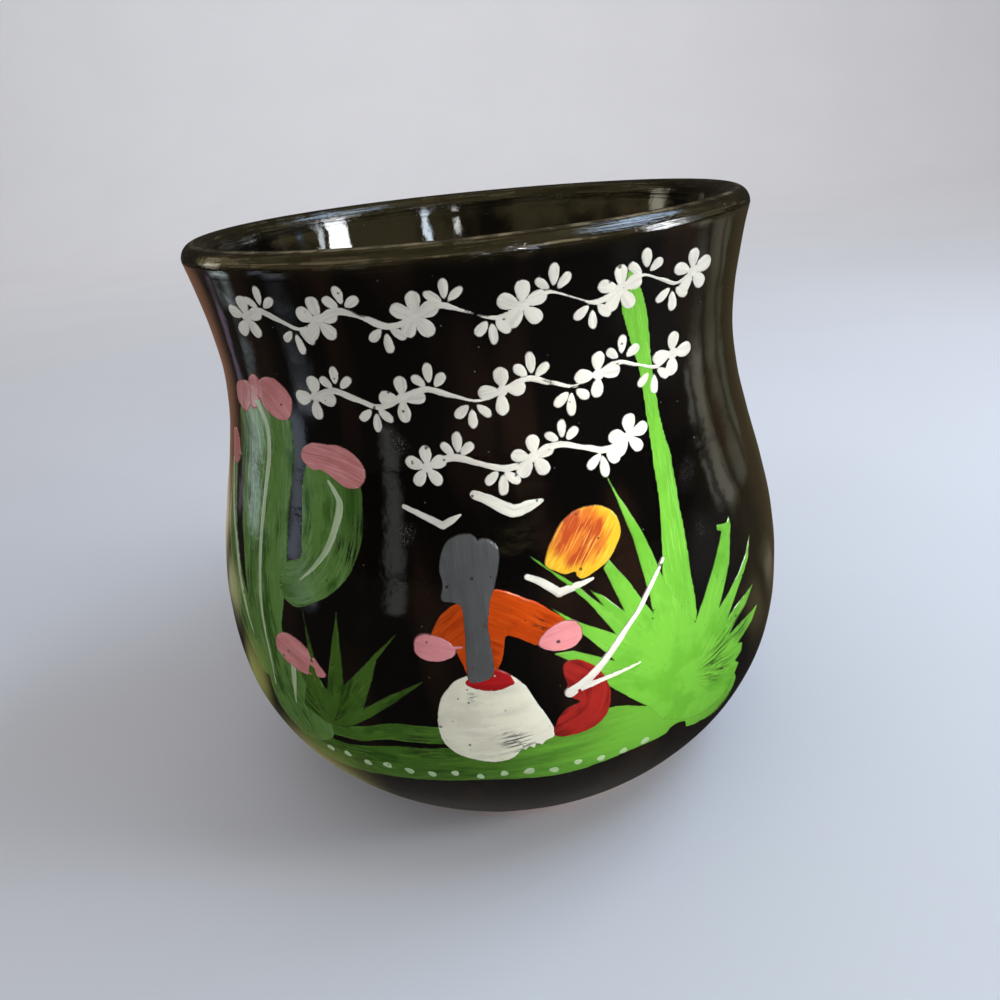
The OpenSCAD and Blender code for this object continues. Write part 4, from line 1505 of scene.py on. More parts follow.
@dataclass
class Agaves:
    """The small dark agave, the large light one and its flower stalk."""

    form: PotForm
    base: Colour = (0.172, 0.490, 0.044)
    deep: Colour = (0.095, 0.345, 0.020)
    pale: Colour = (0.30, 0.64, 0.12)

    def build(self) -> None:
        """Paints the agaves."""
        self.stalk()
        self.large()
        self.small()

    def stalk(self) -> None:
        """The large agave's flower stalk."""
        stalk = Patch(
            edge=[
                (26.1, 0.94), (25.1, 0.916), (24.5, 0.887), (26.4, 0.847), (28.8, 0.79), (29.4, 0.728),
                (29.2, 0.667), (28.7, 0.607), (27.4, 0.55), (26.4, 0.47), (31.9, 0.42), (32.4, 0.50),
                (32.8, 0.56), (33.2, 0.61), (33.5, 0.67), (32.7, 0.721), (31.8, 0.787), (31.1, 0.84),
                (29.7, 0.885), (27.9, 0.916),
            ],
            spine=[(29, 0.42), (30, 0.56), (31.3, 0.68), (30.6, 0.78), (27.5, 0.88), (26, 0.96)],
        )
        green = Enamel(
            "stalk_green_enamel", self.base, self.deep, self.pale, streaks=0.35, ridges=0.45, bare=0.12, lanes=1.2
        )
        Coat("agave_stalk_paint", "light_green_enamel", green, [stalk], Tier.FIRST, seed=21).lay(self.form)

    def large(self) -> None:
        """The large agave's fan of leaves."""
        fan = Fan(
            edge=[
                (17.9, 0.704), (20.6, 0.646), (23.3, 0.597), (23.9, 0.586), (25.4, 0.544), (26.9, 0.497),
                (31.7, 0.418), (34.4, 0.449), (38.2, 0.489), (42, 0.527), (40.8, 0.533), (41, 0.54),
                (44.1, 0.533), (45.1, 0.541), (45, 0.525), (42.1, 0.474), (39.4, 0.44), (37.7, 0.417),
                (40.9, 0.43), (44.7, 0.448), (47.9, 0.465), (50.8, 0.487), (48.5, 0.455), (45.6, 0.436),
                (43.2, 0.42), (39.6, 0.389), (42.5, 0.399), (45.7, 0.404), (49.5, 0.408), (46, 0.386),
                (42.7, 0.374), (40.1, 0.358), (44.6, 0.362), (51.1, 0.36), (48.7, 0.342), (45.5, 0.334),
                (43.1, 0.327), (44.8, 0.319), (44.6, 0.303), (42.6, 0.295), (44.2, 0.282), (43, 0.266),
                (41.1, 0.235), (37.2, 0.228), (32.1, 0.232), (24.2, 0.271), (21.4, 0.31), (17.1, 0.348),
                (14.5, 0.372), (13.6, 0.393), (6.5, 0.442), (9.4, 0.442), (12.8, 0.426), (16.1, 0.408),
                (15, 0.422), (11.7, 0.458), (8.6, 0.49), (6.7, 0.509), (10.3, 0.485), (14, 0.464),
                (16.8, 0.448), (13.4, 0.497), (10.6, 0.529), (4.3, 0.584), (10.7, 0.537), (11.7, 0.529),
                (14.3, 0.503), (16.2, 0.484), (13.1, 0.524), (15.5, 0.508), (18.8, 0.475), (17.5, 0.51),
                (16.1, 0.547), (17.3, 0.558), (20.4, 0.515), (23.7, 0.458), (23, 0.518), (22.2, 0.574),
                (20.9, 0.624),
            ],
            hub=(29, 0.33),
        )
        green = Enamel(
            "agave_green_enamel", self.base, self.deep, self.pale, streaks=0.35, ridges=0.22, bare=0.20, lanes=0.7,
            calm=13.0, wash=0.5, dry=(Scuff((32.0, -42.8, 33.0), 6.5, 0.8), Scuff((36.5, -38.9, 36.0), 5.0, 0.7)),
        )
        Coat(
            "agave_paint", "light_green_enamel", green, [fan], Tier.SECOND, seed=22, pinholes=14, ragged=0.12,
            cell=0.18, edge=0.3,
        ).lay(self.form)

    def small(self) -> None:
        """The small dark agave."""
        small = Fan(
            edge=[
                (-28.9, 0.503), (-28.6, 0.441), (-28.7, 0.386), (-26.5, 0.406), (-22.2, 0.449), (-18.2, 0.482),
                (-21.9, 0.44), (-22.9, 0.41), (-25.5, 0.352), (-20.4, 0.383), (-14.3, 0.413), (-19, 0.378),
                (-24.5, 0.338), (-30.2, 0.302), (-34.4, 0.30), (-39, 0.32), (-36.8, 0.38), (-35.4, 0.42),
                (-36.4, 0.495), (-34.6, 0.43), (-33.4, 0.372), (-32.4, 0.371), (-30.2, 0.45),
            ],
            hub=(-33, 0.30),
        )
        green = Enamel(
            "small_agave_enamel", base=(0.060, 0.138, 0.014), deep=(0.022, 0.058, 0.005), pale=(0.14, 0.25, 0.05),
            streaks=0.9, ridges=0.4, bare=0.3, lanes=0.8,
        )
        Coat(
            "small_agave_paint", "deep_green_enamel", green, [small], Tier.THIRD, seed=23, ragged=0.12, cell=0.17
        ).lay(self.form)


@dataclass
class Land:
    """The ground strip with its row of dots, the sun and the birds."""

    form: PotForm
    line_width: float = 1.2
    dot: float = 1.3
    dots: int = 15

    def build(self) -> None:
        """Paints the ground, its dots, the sun and the birds."""
        self.ground()
        self.dot_row()
        self.sun()
        self.birds()

    def ground(self) -> None:
        """The strip of ground round the landscape."""
        low = Patch(
            edge=[
                (-47, 0.275), (-44.5, 0.245), (-43.4, 0.215), (-38, 0.193), (-29.5, 0.199), (-22.2, 0.209),
                (-16, 0.215), (-8, 0.222), (-0.4, 0.219), (4, 0.217), (9.6, 0.218), (17.8, 0.228), (25.2, 0.231),
                (26.2, 0.240), (28, 0.243), (29.8, 0.236), (30.6, 0.219), (34, 0.207), (40, 0.196), (43.4, 0.215),
                (44, 0.25), (41, 0.28), (30, 0.30), (22, 0.311), (14.4, 0.333), (5.4, 0.306), (-4, 0.305),
                (-13.7, 0.293), (-21.8, 0.287), (-30, 0.268), (-35.7, 0.27), (-41, 0.30),
            ],
            spine=[(-50, 0.26), (-40, 0.242), (-20, 0.25), (0, 0.262), (20, 0.268), (34, 0.25), (46, 0.24)],
        )
        high = Patch(
            edge=[
                (-40, 0.30), (-33, 0.303), (-26, 0.318), (-20.3, 0.334), (-13.2, 0.335), (-6, 0.335), (-4, 0.315),
                (-13.7, 0.302), (-21.7, 0.299), (-28, 0.282), (-35, 0.28),
            ],
            spine=[(-42, 0.285), (-30, 0.295), (-20, 0.314), (-4, 0.325)],
        )
        grass = TwoToneEnamel(
            "ground_green_enamel", base=(0.070, 0.170, 0.018), deep=(0.028, 0.085, 0.008), pale=(0.15, 0.30, 0.05),
            streaks=0.85, ridges=0.4, bare=0.25, lanes=0.8, second=(0.165, 0.46, 0.04), start=-12.0, end=20.0,
            share=0.92,
            dry=(Scuff((-25.5, -46.3, 24.8), 6.0, 0.5), Scuff((-15.1, -51.1, 29.5), 5.0, 0.7)),
        )
        Coat(
            "ground_paint", "deep_green_enamel", grass, [low, high], Tier.FIRST, seed=31, pinholes=16, ragged=0.2
        ).lay(self.form)

    def dot_row(self) -> None:
        """Pale dots along the ground, each a little off its true place."""
        dots = []
        for i in range(self.dots):
            place = (-36 + 57 * i / (self.dots - 1), 0.236 + 0.004 * math.sin(i * 2.4))
            length = self.dot * (1.1 + 0.15 * math.sin(i * 5.1))
            dots.append(Daub(middle=self.form.flat(place), length=length, width=self.dot, tilt=40.0 * math.sin(i)))
        pale = Enamel(
            "dot_green_enamel", base=(0.52, 0.66, 0.38), deep=(0.30, 0.46, 0.20), pale=(0.74, 0.82, 0.62),
            streaks=0.4, lanes=3.0,
        )
        Coat(
            "ground_dots_paint", "pale_green_enamel", pale, dots, Tier.SECOND, edge=0.16, cell=0.12, pinholes=1,
            seed=32,
        ).lay(self.form)

    def sun(self) -> None:
        """The sun."""
        sun = Patch(
            edge=[
                (6.7, 0.572), (7.5, 0.589), (8.8, 0.606), (10.7, 0.623), (13.3, 0.633), (16.5, 0.633),
                (18.5, 0.625), (20, 0.61), (20.2, 0.59), (19.3, 0.576), (17.7, 0.56), (15.4, 0.549),
                (12.7, 0.541), (11.7, 0.545), (11.3, 0.552), (9.8, 0.551), (8.3, 0.558), (7, 0.565),
            ],
            spine=[(8.5, 0.54), (18.5, 0.645)],
        )
        yellow = SunEnamel(
            "sun_yellow_enamel", base=(0.80, 0.45, 0.020), deep=(0.6, 0.2, 0.02), pale=(0.88, 0.62, 0.09), bare=0.06
        )
        Coat(
            "sun_paint", "sun_yellow_enamel", yellow, [sun], Tier.THIRD, cell=0.16, ridge=0.02, pinholes=3, seed=33
        ).lay(self.form)

    def birds(self) -> None:
        """Three white birds."""
        rows = [
            ([(-15.5, 0.66), (-11.9, 0.646), (-9.3, 0.6345), (-9, 0.6345), (-7.6, 0.64), (-6, 0.647)], 0.72),
            ([(-3.5, 0.672), (-1.1, 0.663), (1.9, 0.648), (3.2, 0.645), (5.2, 0.649), (7.6, 0.6535)], 1.25),
            ([(3.6, 0.556), (5.8, 0.546), (8.2, 0.5285), (8.5, 0.528), (11.1, 0.532), (14.1, 0.537)], 0.88),
        ]
        shares = (0.75, 0.95, 1.1, 1.1, 1.0, 0.3)
        birds = [Stroke(line=line, widths=[self.line_width * w * s for s in shares], bends=3) for line, w in rows]
        Coat(
            "birds_paint", "white_enamel", white_enamel("bird_white_enamel"), birds, Tier.SECOND, edge=0.16,
            ragged=0.12, cell=0.14, pinholes=2, seed=34,
        ).lay(self.form)


def white_enamel(name: str) -> Enamel:
    """Mixes the warm white that the lines and borders are drawn with.

    Args:
        name: The material's name.

    Returns:
        The enamel.
    """
    return Enamel(
        name, base=(0.82, 0.78, 0.66), deep=(0.60, 0.57, 0.48), pale=(0.92, 0.89, 0.80), streaks=0.55, ridges=0.6,
        bare=0.10, lanes=2.6,
    )


@dataclass
class SeatedFigure:
    """The seated figure seen from behind: hair, sleeves, hands, sash and skirt, with a bundle and a staff."""

    form: PotForm
    hand_length: float = 6.0
    line_width: float = 1.2

    def build(self) -> None:
        """Paints the figure."""
        self.sleeves()
        self.skirt()
        self.sash()
        self.hands()
        self.hair()
        self.bundle()
        self.staff()

    def sleeves(self) -> None:
        """The blouse with its sleeves."""
        body = Patch(
            edge=[
                (-12.3, 0.486), (-10.7, 0.51), (-8.7, 0.525), (-6.9, 0.531), (-4.8, 0.539), (-2, 0.545),
                (0.4, 0.539), (3.4, 0.526), (6.2, 0.509), (8.6, 0.489), (8, 0.472), (4.2, 0.46), (2.6, 0.466),
                (0.9, 0.475), (-0.7, 0.479), (-1.2, 0.462), (-1.6, 0.445), (-2.4, 0.431), (-2.8, 0.42),
                (-4.6, 0.415), (-6.9, 0.42), (-7.6, 0.437), (-8.4, 0.455), (-8.9, 0.467), (-10.8, 0.478),
            ],
            spine=[(-13.5, 0.47), (-9, 0.50), (-4, 0.53), (1, 0.515), (5, 0.492), (10, 0.465)],
        )
        orange = Enamel(
            "orange_enamel", base=(0.60, 0.066, 0.003), deep=(0.36, 0.032, 0.002), pale=(0.74, 0.13, 0.012),
            streaks=0.8, ridges=0.4, bare=0.30, lanes=1.3, dry=(Scuff((4.2, -51.3, 49.0), 2.0, 0.9),),
        )
        Coat(
            "sleeves_paint", "orange_enamel", orange, [body], Tier.SECOND, cell=0.18, seed=41, pinholes=4
        ).lay(self.form)

    def skirt(self) -> None:
        """The wide skirt, dry at its right edge."""
        skirt = Patch(
            edge=[
                (-8.7, 0.418), (-10.2, 0.407), (-11.7, 0.386), (-12.7, 0.355), (-12.8, 0.326), (-11.9, 0.299),
                (-9.9, 0.28), (-7.2, 0.27), (-5, 0.266), (-2.4, 0.268), (-0.8, 0.279), (-0.1, 0.288),
                (0.5, 0.285), (1.1, 0.292), (1.8, 0.287), (2.4, 0.295), (3.1, 0.291), (3.8, 0.298), (5.1, 0.304),
                (5.3, 0.319), (4.4, 0.343), (2.8, 0.373), (1.3, 0.402), (-0.4, 0.418), (-2.7, 0.424),
                (-6.4, 0.423),
            ],
            spine=[(-17, 0.290), (-4, 0.292), (8, 0.318)],
        )
        cream = TwoToneEnamel(
            "skirt_cream_enamel", base=(0.87, 0.83, 0.63), deep=(0.65, 0.61, 0.45), pale=(0.95, 0.92, 0.78),
            streaks=0.55, ridges=0.4, bare=0.12, lanes=0.5, second=(0.95, 0.93, 0.78), start=-4.0, end=8.0, share=0.5,
            under=(0.05, 0.055, 0.05), dry=(Scuff((-0.8, -53.4, 30.3), 3.6, 0.9), Scuff((-6.4, -52.7, 38.8), 1.0, 0.9)),
        )
        Coat(
            "skirt_paint", "white_enamel", cream, [skirt], Tier.SECOND, cell=0.17, seed=42, pinholes=14, ragged=0.2
        ).lay(self.form)

    def sash(self) -> None:
        """The sash over the skirt's waist."""
        sash = Patch(
            edge=[
                (-7.7, 0.41), (-7, 0.42), (-3.9, 0.424), (-2.7, 0.43), (-0.9, 0.422), (-0.2, 0.408), (-1.1, 0.403),
                (-3, 0.398), (-4.8, 0.399), (-6.5, 0.403),
            ],
            spine=[(-9, 0.412), (-4, 0.41), (1.5, 0.412)],
        )
        red = Enamel(
            "red_enamel", base=(0.46, 0.010, 0.012), deep=(0.30, 0.008, 0.008), pale=(0.62, 0.03, 0.03), bare=0.1,
            lanes=2.0,
        )
        Coat("sash_paint", "red_enamel", red, [sash], Tier.THIRD, cell=0.14, seed=43, pinholes=1).lay(self.form)

    def hands(self) -> None:
        """Both hands, the left one with a thread of paint drawn on from it."""
        length, wide = self.hand_length, self.hand_length * 0.66
        hands = [
            Daub(middle=self.form.flat((-11.9, 0.465)), length=length, width=wide, tilt=172),
            Daub(middle=self.form.flat((7.6, 0.466)), length=length * 1.05, width=wide, tilt=10),
            Stroke(line=[(-9.2, 0.466), (-7.6, 0.467)], widths=[0.5, 0.25]),
        ]
        pink = Enamel(
            "pink_enamel", base=(0.84, 0.315, 0.32), deep=(0.66, 0.205, 0.20), pale=(0.90, 0.42, 0.44), streaks=0.4,
            bare=0.06,
        )
        Coat("hands_paint", "pink_enamel", pink, hands, Tier.LAST, cell=0.15, seed=44, pinholes=3).lay(self.form)

    def hair(self) -> None:
        """Head of hair and braid."""
        head = Patch(
            edge=[
                (-10.2, 0.534), (-9.8, 0.556), (-10.2, 0.572), (-9.8, 0.593), (-8.7, 0.611), (-6.8, 0.62),
                (-4.9, 0.621), (-4, 0.616), (-3.7, 0.612), (-2.7, 0.614), (-1.5, 0.61), (-0.7, 0.599),
                (-0.6, 0.585), (-1.1, 0.567), (-1.8, 0.547), (-2.7, 0.526), (-3.3, 0.498), (-3.2, 0.479),
                (-3.1, 0.45), (-3.2, 0.424), (-4.3, 0.415), (-5.8, 0.412), (-7.1, 0.415), (-7.1, 0.443),
                (-6.9, 0.478), (-6.9, 0.506), (-7.1, 0.525), (-8.3, 0.531),
            ],
            spine=[(-5.2, 0.40), (-5, 0.50), (-5.2, 0.56), (-5.3, 0.64)],
        )
        grey = Enamel(
            "slate_grey_enamel", base=(0.098, 0.100, 0.098), deep=(0.070, 0.071, 0.070), pale=(0.14, 0.142, 0.14),
            streaks=0.45, bare=0.06,
        )
        Coat("hair_paint", "slate_grey_enamel", grey, [head], Tier.LAST, cell=0.16, seed=45, pinholes=4).lay(self.form)

    def bundle(self) -> None:
        """The red bundle beside the skirt."""
        bundle = Patch(
            edge=[
                (7.8, 0.424), (9.3, 0.429), (11.4, 0.421), (13.2, 0.404), (14.4, 0.381), (14.7, 0.352),
                (13.9, 0.326), (12.2, 0.309), (9.5, 0.301), (6.6, 0.301), (5.4, 0.306), (5.3, 0.319), (6.3, 0.339),
                (7.6, 0.352), (9.6, 0.358), (8.2, 0.37), (7.8, 0.394), (7.5, 0.411),
            ],
            spine=[(8, 0.43), (11.8, 0.395), (12.2, 0.355), (10, 0.325), (5, 0.305)],
        )
        dark = Enamel(
            "dark_red_enamel", base=(0.34, 0.018, 0.013), deep=(0.15, 0.008, 0.006), pale=(0.44, 0.035, 0.026),
            streaks=0.8, bare=0.2, lanes=1.8,
        )
        Coat(
            "bundle_paint", "dark_red_enamel", dark, [bundle], Tier.THIRD, cell=0.17, seed=46, pinholes=3
        ).lay(self.form)

    def staff(self) -> None:
        """The white staff over the bundle, with a short branch."""
        long = [(27.1, 0.533), (21.4, 0.479), (18.5, 0.455), (14.6, 0.419), (11.1, 0.393), (8.3, 0.378)]
        short = [(20.1, 0.395), (16.4, 0.39), (12.3, 0.385), (8.3, 0.379)]
        staff = [
            Stroke(line=long, widths=[self.line_width * w for w in (0.30, 0.60, 0.70, 0.85, 1.10, 1.35)]),
            Stroke(line=short, widths=[self.line_width * w for w in (0.20, 0.5, 0.7, 1.0)]),
        ]
        Coat(
            "staff_paint", "white_enamel", white_enamel("staff_white_enamel"), staff, Tier.LAST, edge=0.16,
            ragged=0.10, cell=0.14, pinholes=2, seed=47,
        ).lay(self.form)


@dataclass(frozen=True)
class BorderRow:
    """One border row: azimuths of its first and last bloom, how many there are, its height share and the rest."""

    first: float
    last: float
    blooms: int
    height: float
    petals: int
    seed: int
    share: float = 1.0


@dataclass
class BorderRows:
    """Three rows of white brushed flowers on a wavy stem under the rim."""

    form: PotForm
    bloom: float = 6.2
    stem: float = 0.85
    wave: float = 0.011

    def row(self, row: BorderRow) -> list[Mark]:
        """Draws one row.

        Args:
            row: The row's measures.

        Returns:
            The marks in the order they were painted.
        """
        dice = np.random.default_rng(row.seed)
        pitch = (row.last - row.first) / (row.blooms - 1)
        d = self.bloom * row.share
        marks: list[Mark] = []
        for i in range(row.blooms - 1):
            line = [self.stem_at(row, pitch, i + k / 4) for k in range(5)]
            marks.append(Stroke(Tip.DRY, line=line, widths=[self.stem * dice.uniform(0.85, 1.2) for _ in line]))
        for i in range(row.blooms - 1):
            for up in (1, -1):
                root = self.form.flat(self.stem_at(row, pitch, i + 0.5 - up * 0.2))
                for lean, place, length in ((-50, 0.3, 0.36), (0, 0.36, 0.42), (50, 0.3, 0.36)):
                    marks.append(self.petal(root, 90 * up + lean, (d * place, d * length, d * 0.2), dice))
        for i in range(row.blooms):
            middle = self.form.flat((row.first + pitch * i, row.height))
            for k in range(row.petals):
                marks.append(self.petal(middle, 90 + 360 * k / row.petals, (d * 0.29, d * 0.42, d * 0.3), dice))
            marks.append(Daub(middle=middle, length=d * 0.26, width=d * 0.24))
        return marks

    def stem_at(self, row: BorderRow, pitch: float, turns: float) -> Place:
        """The stem's place, a number of blooms from the row's start."""
        return row.first + pitch * turns, row.height + self.wave * math.sin(math.tau * turns)

    def petal(
        self, root: np.ndarray, way: float, size: tuple[float, float, float], dice: np.random.Generator
    ) -> Daub:
        """One petal or bud pressed down with the tip of the brush, a little off its true place.

        Args:
            root: The flat point that it points away from.
            way: The way it points, in degrees.
            size: Its middle's distance from the root, its length and its width.
            dice: The row's random numbers.

        Returns:
            The daub.
        """
        far, length, width = size
        way = way + dice.uniform(-5, 5)
        middle = root + far * np.array([math.cos(math.radians(way)), math.sin(math.radians(way))])
        length, width = length * dice.uniform(0.93, 1.1), width * dice.uniform(0.9, 1.12)
        return Daub(middle=middle, length=length, width=width, tilt=way + dice.uniform(-7, 7))

    def build(self) -> None:
        """Paints the three rows."""
        rows = {
            "upper_border_paint": BorderRow(-43, 41, 6, 0.912, 5, 51),
            "middle_border_paint": BorderRow(-31, 37, 5, 0.805, 4, 52),
            "lower_border_paint": BorderRow(-11, 25, 3, 0.712, 5, 53, 0.95),
        }
        for node, row in rows.items():
            Coat(
                node, "white_enamel", white_enamel(node.replace("_paint", "_white")), self.row(row), Tier.SECOND,
                edge=0.18, ragged=0.12, cell=0.15, seed=row.seed,
            ).lay(self.form)


# Studio


@dataclass
class Softbox:
    """A rectangular lamp seen from the pot in one direction, with the brightness its face shows.

    The direction is an azimuth from the front towards the right and a height over the level, in degrees;
    sizes and distance are in metres.
    """

    name: str
    azimuth: float
    rise: float
    size: tuple[float, float]
    level: float
    colour: Colour = (1.0, 1.0, 1.0)
    far: float = 0.6
    aim: Spot = (0.0, 0.0, 0.075)
    beam: float = 180.0

    def build(self) -> None:
        """Hangs the lamp."""
        from_scratch()
        a, e = math.radians(self.azimuth), math.radians(self.rise)
        away = Vector((math.cos(e) * math.sin(a), -math.cos(e) * math.cos(a), math.sin(e)))
        bpy.ops.object.light_add(type="AREA", location=Vector(self.aim) + away * self.far)
        lamp = bpy.context.object
        lamp.name = self.name
        lamp.data.shape = "RECTANGLE"
        lamp.data.size, lamp.data.size_y = self.size
        lamp.data.energy = self.level * math.pi * self.size[0] * self.size[1]
        lamp.data.color = self.colour
        lamp.data.spread = math.radians(self.beam)
        lamp.rotation_euler = away.to_track_quat("Z", "Y").to_euler()
        lamp.visible_camera = False


@dataclass(frozen=True)
class Sheen:
    """A soft patch of light on the paper round the pot that only a glossy surface shows.

    Azimuth and width are in degrees round the pot, near and far in millimetres from its axis.
    """

    azimuth: float
    width: float
    near: float
    far: float
    light: Colour


@dataclass(frozen=True)
class Pane:
    """A soft patch of light far off in the room that only a glossy surface shows, all in degrees."""

    azimuth: float
    rise: float
    width: float
    height: float
    light: Colour


@dataclass
class Studio:
    """Pale sweep, softboxes and the camera where the photograph was taken from."""

    camera_at: Spot = (0.0, -0.1398, 0.1097)
    pitch: float = -25.02
    yaw: float = 0.35
    roll: float = -6.06
    lens: float = 27.68
    paper: Colour = (0.80, 0.795, 0.81)
    world: float = 0.50
    dusk: Colour = (0.016, 0.014, 0.011)
    room: Colour = (0.40, 0.335, 0.165)
    shade: Colour = (0.024, 0.021, 0.018)
    glow: float = 4.0
    mirrored_foot_shadow: float = 0.35
    paper_size: float = 3.0
    paper_shift: float = -0.6
    paper_bend: float = 0.4
    bend_steps: int = 14
    paper_back: float = 1.6
    sink: float = 0.00003
    sheens: tuple[Sheen, ...] = (
        Sheen(-142, 22, 60, 900, (0.215, 0.110, 0.070)), Sheen(120, 50, 60, 1000, (0.080, 0.062, 0.030)),
        Sheen(0, 62, 38, 60, (0.105, 0.10, 0.092)), Sheen(-136, 15, 120, 220, (0.52, 0.45, 0.29)),
        Sheen(-113, 13, 105, 160, (0.42, 0.42, 0.22)), Sheen(-92, 13, 62, 98, (0.34, 0.35, 0.11)),
        Sheen(-60, 26, 40, 60, (0.32, 0.30, 0.13)), Sheen(104, 8, 95, 120, (0.30, 0.25, 0.17)),
        Sheen(-119, 3.2, 322, 378, (0.46, 0.34, 0.50)), Sheen(-105, 6, 365, 440, (1.9, 2.25, 2.3)),
        Sheen(-110, 6.5, 428, 520, (2.3, 2.7, 2.75)),
        Sheen(-74, 7.5, 285, 480, (0.55, 0.62, 0.72)), Sheen(-83, 6.5, 450, 1500, (0.60, 0.69, 0.84)),
        Sheen(-39.5, 4.5, 620, 2600, (0.45, 0.45, 0.42)), Sheen(110, 7.0, 310, 480, (0.28, 0.27, 0.19)),
        Sheen(119, 3.5, 330, 480, (0.20, 0.20, 0.14)), Sheen(97.5, 6.0, 330, 800, (0.66, 0.63, 0.49)),
        Sheen(90.5, 2.4, 420, 900, (0.52, 0.51, 0.42)), Sheen(94, 1.2, 360, 900, (0.20, 0.19, 0.15)),
        Sheen(86, 10, 80, 130, (0.17, 0.14, 0.07)), Sheen(58, 8.0, 150, 260, (0.08, 0.08, 0.06)),
    )
    panes: tuple[Pane, ...] = (
        Pane(-41, 2.5, 4.5, 5.0, (0.45, 0.45, 0.42)), Pane(-117, 11, 8.0, 8.0, (2.4, 2.25, 1.7)),
        Pane(-148, 15, 11.0, 8.0, (1.5, 1.3, 0.80)), Pane(-104, 24, 14.0, 4.0, (1.1, 0.98, 0.58)),
        Pane(-66, 30, 16.0, 3.0, (0.55, 0.48, 0.27)), Pane(97, 14, 3.5, 5.0, (1.0, 1.4, 1.9)),
        Pane(112, 12, 7.0, 8.0, (0.42, 0.33, 0.20)),
    )

    def build(self) -> None:
        """Sets up the sweep, the lamps, the world and the camera."""
        self.sweep()
        self.lamps()
        self.air()
        self.camera()

    def sweep(self) -> None:
        """A pale paper sweep: floor, bend and back, darker where the glaze mirrors it."""
        from_scratch()
        bpy.ops.mesh.primitive_plane_add(size=self.paper_size, location=(0, 0, 0))
        bpy.ops.object.mode_set(mode="EDIT")
        bpy.ops.mesh.select_all(action="SELECT")
        bpy.ops.transform.translate(value=(0, self.paper_shift, -self.sink))
        bpy.ops.mesh.select_all(action="DESELECT")
        bpy.ops.object.mode_set(mode="OBJECT")
        mesh = bpy.context.object.data
        for edge in mesh.edges:
            edge.select = all(mesh.vertices[v].co.y > 0 for v in edge.vertices)
        bpy.ops.object.mode_set(mode="EDIT")
        bpy.ops.mesh.select_mode(type="EDGE")
        turns = [math.pi / 2 * i / self.bend_steps for i in range(self.bend_steps + 1)]
        moves = [(math.sin(b) - math.sin(a), math.cos(a) - math.cos(b)) for a, b in zip(turns, turns[1:])]
        for ahead, up in [(self.paper_bend * y, self.paper_bend * z) for y, z in moves] + [(0, self.paper_back)]:
            bpy.ops.mesh.extrude_edges_move(TRANSFORM_OT_translate={"value": (0, ahead, up)})
        end_edit(inside=True)
        name_piece("paper_sweep", self.paper_finish())
        LOG.info("paper sweep laid")

    def paper_finish(self) -> bpy.types.Material:
        """Matt pale paper that shows a glossy surface a dim room with soft patches of light instead.

        Returns:
            The paper's material.
        """
        g = Graph("paper_sweep")
        at = g.place()
        fibre = g.noise(at, 0.9, 3.0)
        cloud = g.smooth(g.noise(at, 0.01, 2.0), 0.3, 0.7)
        colour = g.mix(cloud * 0.5, self.paper, tuple(c * 0.96 for c in self.paper))
        glossy = g.ray("Is Glossy Ray")
        colour = g.mix(glossy, colour, (0.0, 0.0, 0.0))
        x, y, _ = g.split(at)
        drift = g.noise(at, 0.009, 3.0)
        turn = g.azimuth(x, y) * DEGREES + (drift - 0.5) * 5.0
        far = g.from_axis(x, y)
        light: Socket | Colour = tuple(c / self.glow for c in self.shade)
        for sheen in self.sheens:
            wide = g.band(turn, sheen.azimuth, sheen.width, sheen.width * 0.2)
            deep = g.smooth(far, sheen.near * 0.8, sheen.near * 1.2) * g.smooth(far, sheen.far * 1.2, sheen.far * 0.8)
            light = g.mix(wide * deep, light, tuple(c / self.glow for c in sheen.light))
        # Painted shadow: the paper that the glaze mirrors darkens close round the pot's foot
        light = g.mix(g.smooth(far, 95.0, 40.0) * self.mirrored_foot_shadow, light, (0.0, 0.0, 0.0))
        light = g.mix(glossy, (0.0, 0.0, 0.0), light)
        g.material.cycles.emission_sampling = "NONE"
        return g.surface(
            colour, 0.75 + fibre * 0.1, g.bump(fibre * 0.02), IOR=1.4, Specular_IOR_Level=0.2, Emission_Color=light,
            Emission_Strength=self.glow,
        )

    def lamps(self) -> None:
        """A gridded key and windows from the right front, sky from the right, and a light on the paper's back."""
        for lamp in (
            Softbox("key", 19, 25, (0.032, 0.065), 0.85, far=0.55, aim=(0.019, -0.046, 0.058), beam=4.5),
            Softbox("sky_right", 92, 52, (0.34, 0.15), 7.0, (0.55, 0.74, 1.0), far=0.5),
            Softbox("window_right", 75, 13, (0.13, 0.15), 20.0, (0.94, 0.97, 1.0)),
            Softbox("window_bar", 86.5, 13, (0.022, 0.14), 8.0, (0.85, 0.93, 1.0)),
            Softbox("window_front", 22.8, 15.5, (0.035, 0.09), 12.0, (0.75, 0.87, 1.0)),
            Softbox("window_small", 6, 17, (0.030, 0.032), 9.0),
            Softbox("paper_light", 0, 40, (1.6, 0.25), 3.0, far=0.8, aim=(0.0, 1.3, 0.40)),
        ):
            lamp.build()

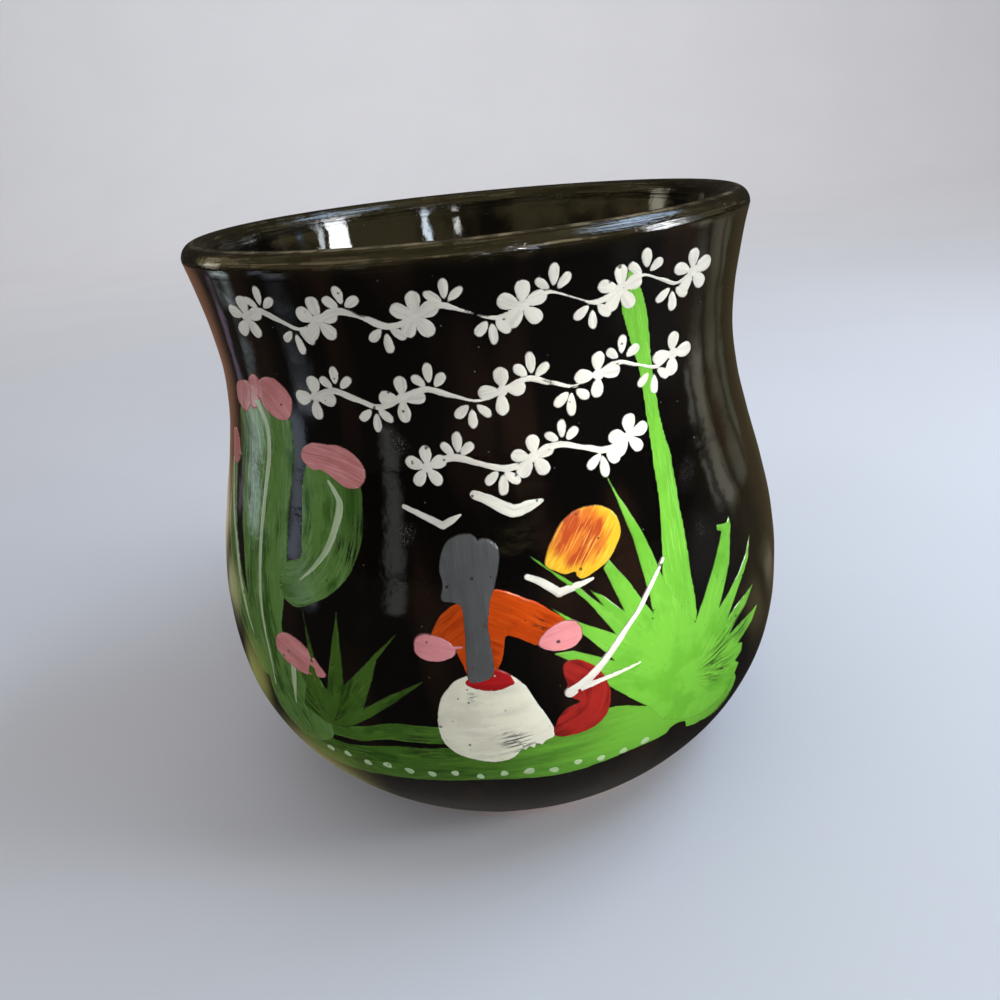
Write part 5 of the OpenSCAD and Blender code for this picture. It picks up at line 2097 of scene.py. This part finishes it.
    def air(self) -> None:
        """A dim even world, pale where the camera looks at it and nearly dark where the glaze mirrors it."""
        g = Graph("studio_air", world=True)
        bpy.context.scene.world = g.material
        x, y, z = g.split(g.node("TexCoord", None, None, "Generated"))
        blur = g.smooth(g.drawn(x * 1.8, y * 1.8, z * 3.0), 0.38, 0.62)
        room = g.mix(g.smooth(z, 0.09, 0.17) * (0.10 + blur * 0.90), self.dusk, self.room)
        turn = g.azimuth(x, y) * DEGREES
        rise = g.maths("ARCSINE", z) * DEGREES + (blur - 0.5) * 3.0
        for pane in self.panes:
            wide = g.band(turn, pane.azimuth, pane.width, pane.width * 0.3)
            high = g.band(rise, pane.rise, pane.height, pane.height * 0.3)
            room = g.mix(wide * high, room, pane.light)
        even = g.node("Background", None, {"Color": (0.95, 0.96, 1.0, 1.0), "Strength": self.world})
        dim = g.node("Background", None, {"Color": room, "Strength": 1.0})
        pale = g.node("Background", None, {"Color": (*self.paper, 1.0), "Strength": 1.0})
        mirrored = g.node("MixShader", None, {0: g.ray("Is Glossy Ray"), 1: even, 2: dim})
        seen = g.node("MixShader", None, {0: g.ray("Is Camera Ray"), 1: mirrored, 2: pale})
        g.close(seen, "OutputWorld")

    def camera(self) -> None:
        """The camera at the photograph's place, tilt and lens."""
        from_scratch()
        bpy.ops.object.camera_add(location=self.camera_at)
        camera = bpy.context.object
        camera.name = "photo_camera"
        p, w, r = (math.radians(a) for a in (self.pitch, self.yaw, self.roll))
        ahead = Vector((math.sin(w) * math.cos(p), math.cos(w) * math.cos(p), math.sin(p)))
        right = ahead.cross(Vector((0, 0, 1))).normalized()
        up = right.cross(ahead)
        right, up = right * math.cos(r) + up * math.sin(r), up * math.cos(r) - right * math.sin(r)
        axes = Matrix((right, up, -ahead)).transposed().to_4x4()
        camera.matrix_world = Matrix.Translation(Vector(self.camera_at)) @ axes
        camera.data.sensor_width = 36.0
        camera.data.lens = self.lens
        camera.data.clip_start = 0.005
        bpy.context.scene.camera = camera
        bpy.context.scene.view_settings.view_transform = "Standard"
        LOG.info("camera set")


def main() -> None:
    """Builds the mug piece by piece and notes its size."""
    logging.basicConfig(level=logging.INFO, format="%(name)s: %(message)s")
    form = PotForm()
    Studio().build()
    for part in (ThrownPot, StrapHandle, Land, Cactus, Agaves, SeatedFigure, BorderRows):
        part(form).build()
    from_scratch()


if __name__ == "__main__":
    main()
